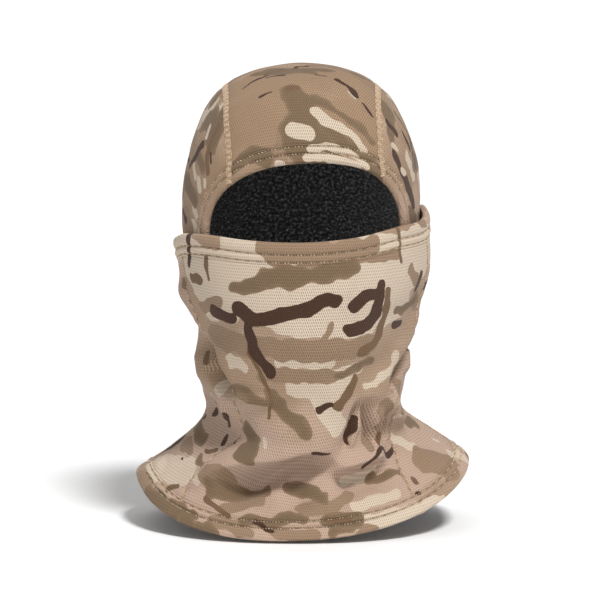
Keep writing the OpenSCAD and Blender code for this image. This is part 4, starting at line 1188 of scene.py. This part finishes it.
def settle(piece, nodes, moves):
    """Hides the CAD nodes a piece stands for, and either keeps it where it was built or hangs it on the hood.
    """
    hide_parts(*nodes)
    if moves:
        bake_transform(piece)
    else:
        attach(piece, "hood")
    print(piece.name, len(piece.data.polygons), "faces")
    return piece


# %% [markdown]
# ## Crown and sides
# Each panel is a shell 1.2 mm thick. Near the opening it dips under the hem, which is folded
# over it and sewn down.

# %% Hood cloth
HEM_BAND, HEM_SINK = 14.0, -1.6


def under_hem(distance, band):
    return HEM_SINK * ease((band + 1.0 - distance) / 2.5)


def hood_cloth(name, grid, uv, cloth, nodes):
    sink = under_hem(from_eye_edge(grid), HEM_BAND)
    made = shell(name, hood(grid, sink), hood(grid, sink - KNIT), uv, camo_hood, print_fields(uv, cloth))
    return settle(made, nodes, False)


SIDES = (("left", 1), ("right", -1))
CLOTH_GRID, FLEECE_GRID = 1.5, 1.1
crown = crown_grid(CLOTH_GRID)
crown_cloth = hood_cloth("crown_cloth", crown, crown_uv(crown), "crown", ["crown_panel"])
side_cloths = []
for word, side in SIDES:
    grid = side_grid(side, CLOTH_GRID)
    side_cloths.append(hood_cloth(f"{word}_side_cloth", grid, side_uv(grid), "sides", [f"{word}_side_panel"]))


# %% Hood fleece
def pile(uv, height):
    """Curled pile: lumps about 2.5 mm apart."""
    u, v = uv[..., 0], uv[..., 1]
    curls = np.abs(lattice_noise(u / 2.7, v / 2.5, 21)) + 0.6 * np.abs(lattice_noise(u / 1.6, v / 1.7, 22))
    return height * (1.1 - 1.3 * curls)


def hood_fleece(name, grid, uv, nodes):
    clear = ease((from_eye_edge(grid) - 11) / 6)
    inner = hood(grid, -LINING_IN - clear * pile(uv, 1.0))
    made = shell(name, hood(grid, -LINING_OUT), inner, uv, fleece)
    return settle(made, nodes, False)


crown = crown_grid(FLEECE_GRID)
crown_fleece = hood_fleece("crown_fleece", crown, crown_uv(crown), ["crown_lining"])
side_fleeces = []
for word, side in SIDES:
    grid = side_grid(side, FLEECE_GRID)
    side_fleeces.append(hood_fleece(f"{word}_side_fleece", grid, side_uv(grid), [f"{word}_side_lining"]))

# %% [markdown]
# ## Front, gussets and back
# Below the eyes there are four panels. The front panel and its two gussets run from the mouth
# edge to the bib without a seam, and they are left in place in the scene. The back panel is
# hung on the hood, like the hood's own panels.

# %% Neck panels
MOUTH_BAND, BIB_BAND = 16.0, 16.5


def neck_grid(start_angle, end_angle, top, spacing):
    """(angle, depth) between two side lines, which are functions of depth, from a top line."""
    width = 210 if top == "nape" else 1.75 * float(end_angle(60.0) - start_angle(60.0))
    shares = np.linspace(0, 1, int(width / spacing))[:, None]
    first = np.full(shares.shape, 60.2)
    if top == "mouth":
        first = mouth_depth(start_angle(0.0) + (end_angle(0.0) - start_angle(0.0)) * shares) + 1.0
    depth = first + (BIB_EDGE - 1.0 - first) * np.linspace(0, 1, int(235 / spacing))
    return start_angle(depth) + (end_angle(depth) - start_angle(depth)) * shares, depth


def hem_distances(angle, depth):
    slope = np.interp((angle + 180) % 360 - 180, bib_angles, bib_slope)
    return depth - mouth_depth(np.clip(angle, -98, 98)), (BIB_EDGE - depth) * slope


def from_nape(angle, depth, uv):
    """Cloth coordinates of the back panel, measured from the middle of the nape."""
    turned = angle > 180
    middle = np.where(turned, neck(-180.0, depth)[1][..., 0], neck(179.999, depth)[1][..., 0])
    return np.stack([uv[..., 0] - middle, uv[..., 1]], -1)


def neck_layers(name, bounds, top, cloth, moves, cloth_nodes, fleece_nodes):
    """A knit shell and a fleece shell between two side lines."""
    angle, depth = neck_grid(*bounds, top, CLOTH_GRID)
    from_mouth, from_bib = hem_distances(angle, depth)
    sink = under_hem(from_bib, BIB_BAND)
    if top == "mouth":
        sink = np.minimum(sink, under_hem(from_mouth, MOUTH_BAND))
    outer, uv = neck(angle, depth, sink)
    if cloth == "back":
        uv = from_nape(angle, depth, uv)
    inner = neck(angle, depth, sink - KNIT)[0]
    knit = shell(f"{name}_cloth", outer, inner, uv, camo_cover, print_fields(uv, cloth))
    clear = ease((from_bib - 14) / 6) * (ease((from_mouth - 14) / 6) if top == "mouth" else 1)
    soft = neck(angle, depth, -LINING_IN - clear * pile(uv, 0.8))[0]
    lining = shell(f"{name}_fleece", neck(angle, depth, -LINING_OUT)[0], soft, uv, fleece)
    return (settle(knit, cloth_nodes, moves), settle(lining, fleece_nodes, moves))


def steady(value):
    return lambda depth: np.full(np.shape(depth), float(value))


neck_pieces = {"front": neck_layers(
    "front", (lambda d: front_seam(d, -1), lambda d: front_seam(d, 1)), "mouth", "front", True,
    ["neck_front_panel", "face_panel"], ["neck_front_lining", "face_lining"])}
for word, side in SIDES:
    seam, end = (lambda d, s=side: front_seam(d, s)), steady(side * SIDE_END)
    neck_pieces[word] = neck_layers(
        f"{word}_gusset", (seam, end) if side > 0 else (end, seam), "mouth", "gussets", True,
        [f"{word}_bib_panel", f"{word}_cover_panel"], [f"{word}_bib_lining", f"{word}_cover_lining"])
neck_pieces["back"] = neck_layers("back", (steady(SIDE_END), steady(360 - SIDE_END)), "nape", "back", False,
                                  ["back_neck_panel"], ["back_neck_lining"])

# %% [markdown]
# ## Hems
# A hem is the cloth turned inside and sewn twice. The two rows of stitches pull grooves, and
# the cloth swells between them and along the fold, so the profile is drawn with those swells.
# Each pair is a distance from the edge and a height above the cloth.

# %% Hem rolls
EYE_ROWS, MOUTH_ROWS, BIB_ROWS = (6.75, 12.0), (8.8, 14.6), (9.6, 15.0)


def hem_profile(rows, end_drop):
    """A closed profile with a groove at each row of stitches."""
    first, last = rows
    between = (first + last) / 2
    outside = [(last + 1.8, 0.05), (last + 0.9, 0.35), (last, -0.95), (last - 0.9, 0.6), (between, 1.25),
               (first + 0.9, 0.6), (first, -0.95), (first - 1.0, 0.75), (first * 0.55, 1.6),
               (1.4, 1.3), (0.1, 0.3)]
    inside = [(-0.5, -1.2), (0.1, -2.7), (1.4, -3.7), (first, -4.1), (last + 1.6, end_drop),
              (last + 2.0, -1.5)]
    return rounded_profile(outside + inside)


def joined_prints(uv, choices):
    """Print fields taken from several panels; choices are (mask, panel) pairs."""
    fields = {}
    for mask, cloth in choices:
        for key, values in print_fields(uv, cloth).items():
            fields[key] = np.where(mask, values, fields.get(key, 0 * values))
    return fields


def eye_print(run, points, uv):
    crown_part = on_crown(points)
    return joined_prints(uv, [(~crown_part, "sides"), (crown_part, "crown")])


def mouth_print(run, points, uv):
    angle = np.interp(run, mouth_run, mouth_angles)
    front = (angle < front_seam(0.0, 1)) & (angle > front_seam(0.0, -1))
    return joined_prints(uv, [(~front, "gussets"), (front, "front")])


def bib_print(run, points, uv):
    angle = np.interp(run, bib_run, bib_angles)
    front = (angle < front_seam(BIB_EDGE, 1)) & (angle > front_seam(BIB_EDGE, -1))
    back = np.abs(angle) > SIDE_END
    fields = joined_prints(uv, [(~front & ~back, "gussets"), (front, "front")])
    behind = print_fields(from_nape(angle % 360, BIB_EDGE + 0 * angle, uv), "back")
    return {key: np.where(back, behind[key], values) for key, values in fields.items()}


def hem_roll(name, line, length, rows, nodes, fields_at, moves, ring=False):
    count = int(length / 1.3)
    run = np.linspace(0, length, count, endpoint=not ring)
    profile = hem_profile(rows, -3.7)
    points, uv = line(run[:, None] + 0 * profile[:, 0], profile[:, 0] + 0 * run[:, None],
                      profile[:, 1] + 0 * run[:, None])
    made = sweep(name, points, uv, camo_hem, fields_at(run[:, None] + 0 * profile[:, 0], points, uv), ring)
    return settle(made, nodes, moves)


def hem_threads(name, line, length, rows, nodes, moves, pitch=2.4):
    starts, ends, ups = [], [], []
    for row in rows:
        run = np.arange(0.5, length - pitch, pitch)
        at = np.full(run.shape, row)
        low, high = line(run + pitch / 2, at, 0 * run)[0], line(run + pitch / 2, at, 0 * run + 1)[0]
        starts.append(line(run + 0.2, at, 0 * run - 0.25)[0])
        ends.append(line(run + pitch - 0.8, at, 0 * run - 0.25)[0])
        ups.append(high - low)
    made = threads(name, *(np.concatenate(a) for a in (starts, ends, ups)), 0.40, 0.5, hem_thread)
    return settle(made, nodes, moves)


hem_roll("eye_hem_roll", eye_line, eye_length, EYE_ROWS, ["eye_opening_hem"], eye_print, False)
hem_threads("eye_hem_threads", eye_line, eye_length, EYE_ROWS, ["eye_hem_stitches"], False)
hem_roll("face_hem_roll", mouth_line, mouth_run[-1], MOUTH_ROWS, ["face_hem"], mouth_print, True)
hem_threads("face_hem_threads", mouth_line, mouth_run[-1], MOUTH_ROWS, ["face_hem_stitches"], True)
hem_roll("bottom_hem_roll", bib_line, bib_run[-1], BIB_ROWS, ["bottom_hem"], bib_print, False, ring=True)
hem_threads("bottom_hem_threads", bib_line, bib_run[-1], BIB_ROWS, ["bottom_hem_stitches"], False)


# %% [markdown]
# ## Flat seams
# The crown's seams are flatlock: the panels butt together and a thread crosses back and forth
# over the join. The front, shoulder and nape seams are narrower and sink into the cloth.

# %% Flatlock seams
def flatlock(name, point, length, width, pitch, nodes, moves, material, radius=0.26):
    """Threads crossing a seam; point(run, offset across, lift) gives a place on the cloth."""
    run = np.arange(0.3, length - pitch, pitch)
    half = np.full(run.shape, width / 2)
    low, high = point(run, 0 * run, 0 * run), point(run, 0 * run, 0 * run + 1)
    ups = high - low
    there = (point(run, -half, 0 * run), point(run + pitch * 0.5, half, 0 * run))
    back = (point(run + pitch * 0.5, half, 0 * run), point(run + pitch, -half, 0 * run))
    rail = np.arange(0.3, length - 2.2, 2.2)
    wide = np.full(rail.shape, width / 2)
    rails = [(point(rail, s * wide, 0 * rail), point(rail + 1.9, s * wide, 0 * rail)) for s in (-1, 1)]
    rail_ups = point(rail, 0 * rail, 0 * rail + 1) - point(rail, 0 * rail, 0 * rail)
    starts = np.concatenate([there[0], back[0], rails[0][0], rails[1][0]])
    ends = np.concatenate([there[1], back[1], rails[0][1], rails[1][1]])
    made = threads(name, starts, ends, np.concatenate([ups, ups, rail_ups, rail_ups]), radius, 0.3, material)
    return settle(made, nodes, moves)


def crown_seam_point(side):
    line = crown_column(side * 1.0)
    run_all = np.concatenate([[0], np.cumsum(np.linalg.norm(np.diff(line, axis=0), axis=1))])
    distance = from_eye_edge(line)

    def point(run, offset, lift):
        p = np.stack([np.interp(run, run_all, line[:, k]) for k in range(3)], -1)
        over_hem = 1.0 * ease((HEM_BAND + 1.0 - np.interp(run, run_all, distance)) / 1.5)
        ahead = np.stack([np.interp(run + 1, run_all, line[:, k]) for k in range(3)], -1) - p
        sideways = np.cross(normal_of(hood_level, p), ahead)
        sideways /= np.maximum(np.linalg.norm(sideways, axis=-1, keepdims=True), 1e-9)
        moved_p = p + sideways * offset[..., None]
        return hood(moved_p / hood_level(moved_p)[..., None], lift + over_hem + 0.15)

    return point, run_all[-1]


for word, side in SIDES:
    point, length = crown_seam_point(side)
    flatlock(f"{word}_crown_flatlock", point, length, 4.6, 1.25, [f"{word}_crown_seam"], False,
             seam_thread, 0.36)


def neck_seam_point(path):
    """A seam on the neck along a path of (angle, depth)."""
    path = np.array(path, float)
    places = neck(path[:, 0], path[:, 1])[0]
    run_all = np.concatenate([[0], np.cumsum(np.linalg.norm(np.diff(places, axis=0), axis=1))])
    steps = np.gradient(path, axis=0) * [ARC_PER_DEGREE, 1]
    steps /= np.linalg.norm(steps, axis=1, keepdims=True)

    def point(run, offset, lift):
        angle, depth, du, dv = (np.interp(run, run_all, a) for a in (*path.T, *steps.T))
        return neck(angle - dv * offset / ARC_PER_DEGREE, depth + du * offset, lift + 0.1)[0]

    return point, run_all[-1]


for word, side in SIDES:
    depths = np.linspace(2.0, BIB_EDGE - 1, 300)
    point, length = neck_seam_point(np.stack([front_seam(depths, side), depths], -1))
    flatlock(f"{word}_front_flatlock", point, length, 1.6, 1.9,
             [f"{word}_front_seam", f"{word}_cover_seam"], True, seam_thread, 0.2)
    depths = np.linspace(float(mouth_depth(side * 97.0)) + 1, BIB_EDGE - 1, 300)
    inset = 1.6 * (1 - ease((depths - 52) / 8))
    point, length = neck_seam_point(np.stack([side * (SIDE_END - inset), depths], -1))
    flatlock(f"{word}_shoulder_flatlock", point, length, 3.6, 1.4, [f"{word}_shoulder_seam"], True,
             seam_thread, 0.3)

angles = np.linspace(SIDE_END, 360 - SIDE_END, 400)
point, length = neck_seam_point(np.stack([angles, np.full(400, 61.5)], -1))
flatlock("nape_flatlock", point, length, 4.4, 1.4, ["nape_seam"], False, seam_thread, 0.33)

# %% [markdown]
# ## Paired layers
# Each knit layer is listed with its fleece and the name of the panel it was cut as. No cut
# sizes are worked out here.

# %% Sheets
sheets = [(crown_cloth, crown_fleece, "crown"), (side_cloths[0], side_fleeces[0], "side"),
          (side_cloths[1], side_fleeces[1], "side"), (*neck_pieces["front"], "front"),
          (*neck_pieces["left"], "gusset"), (*neck_pieces["right"], "gusset"), (*neck_pieces["back"], "back")]

# %% [markdown]
# ## Studio
# A pale floor, a bright even surround and three broad suns show cloth without hard shadows.
# The camera stands a little above the eyes with a long lens, which keeps the proportions true.

# %% Floor, lights and camera
FLOOR_GAP, FLOOR_RADIUS = 0.0015, 20.0
floor_z = float(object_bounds()[0].z) - FLOOR_GAP
floor_mesh = bpy.data.meshes.new("floor")
ring = [(FLOOR_RADIUS * math.cos(a), FLOOR_RADIUS * math.sin(a), floor_z)
        for a in np.linspace(0, 2 * math.pi, 64, endpoint=False)]
floor_mesh.from_pydata(ring, [], [tuple(range(64))])
floor = bpy.data.objects.new("floor", floor_mesh)
bpy.context.scene.collection.objects.link(floor)
paper, tree, shader = new_material("pale_paper", 0.9)
paper_grain = node(tree, "ShaderNodeTexNoise", {"Scale": 40.0})
tree.links.new(mixed(tree, paper_grain.outputs["Fac"], (0.90, 0.90, 0.90, 1), (0.93, 0.93, 0.93, 1)),
               shader.inputs["Base Color"])
floor.data.materials.append(paper)

world = bpy.data.worlds.new("studio")
world.use_nodes = True
AMBIENT = 0.30
seen = node(world.node_tree, "ShaderNodeLightPath").outputs["Is Camera Ray"]
surround = maths(world.node_tree, "MULTIPLY_ADD", seen, 1.0 - AMBIENT, AMBIENT)
world.node_tree.links.new(surround, world.node_tree.nodes["Background"].inputs["Strength"])
world.node_tree.nodes["Background"].inputs["Color"].default_value = (1, 1, 1, 1)
bpy.context.scene.world = world


def soft_sun(name, toward, spread, power):
    """A broad even lamp shining along a direction; spread is its apparent width in degrees."""
    lamp = bpy.data.lights.new(name, "SUN")
    lamp.angle, lamp.energy = math.radians(spread), power
    holder = bpy.data.objects.new(name, lamp)
    holder.rotation_mode = "QUATERNION"
    holder.rotation_quaternion = Vector(toward).to_track_quat("-Z", "Y")
    bpy.context.scene.collection.objects.link(holder)
    return holder


soft_sun("key", (-0.4, 0.8, -1.25), 12, 2.9)
soft_sun("fill", (0.5, 1.4, -0.2), 60, 0.6)
soft_sun("top", (0.1, -0.5, -1.0), 50, 0.5)

LOOK_AT, RISE, FRAME_WIDTH, LENS = Vector((-0.0011, 0, -0.0568)), math.radians(8), 0.45, 700
lens = bpy.data.cameras.new("camera")
lens.lens, lens.sensor_width = LENS, 36
eye = bpy.data.objects.new("camera", lens)
back_off = Vector((0, -math.cos(RISE), math.sin(RISE)))
eye.location = LOOK_AT + back_off * (FRAME_WIDTH * LENS / 36)
eye.rotation_mode = "QUATERNION"
eye.rotation_quaternion = (-back_off).to_track_quat("-Z", "Y")
lens.clip_start, lens.clip_end = 0.05, 60
bpy.context.scene.collection.objects.link(eye)
bpy.context.scene.camera = eye
bpy.context.scene.view_settings.view_transform = "Standard"
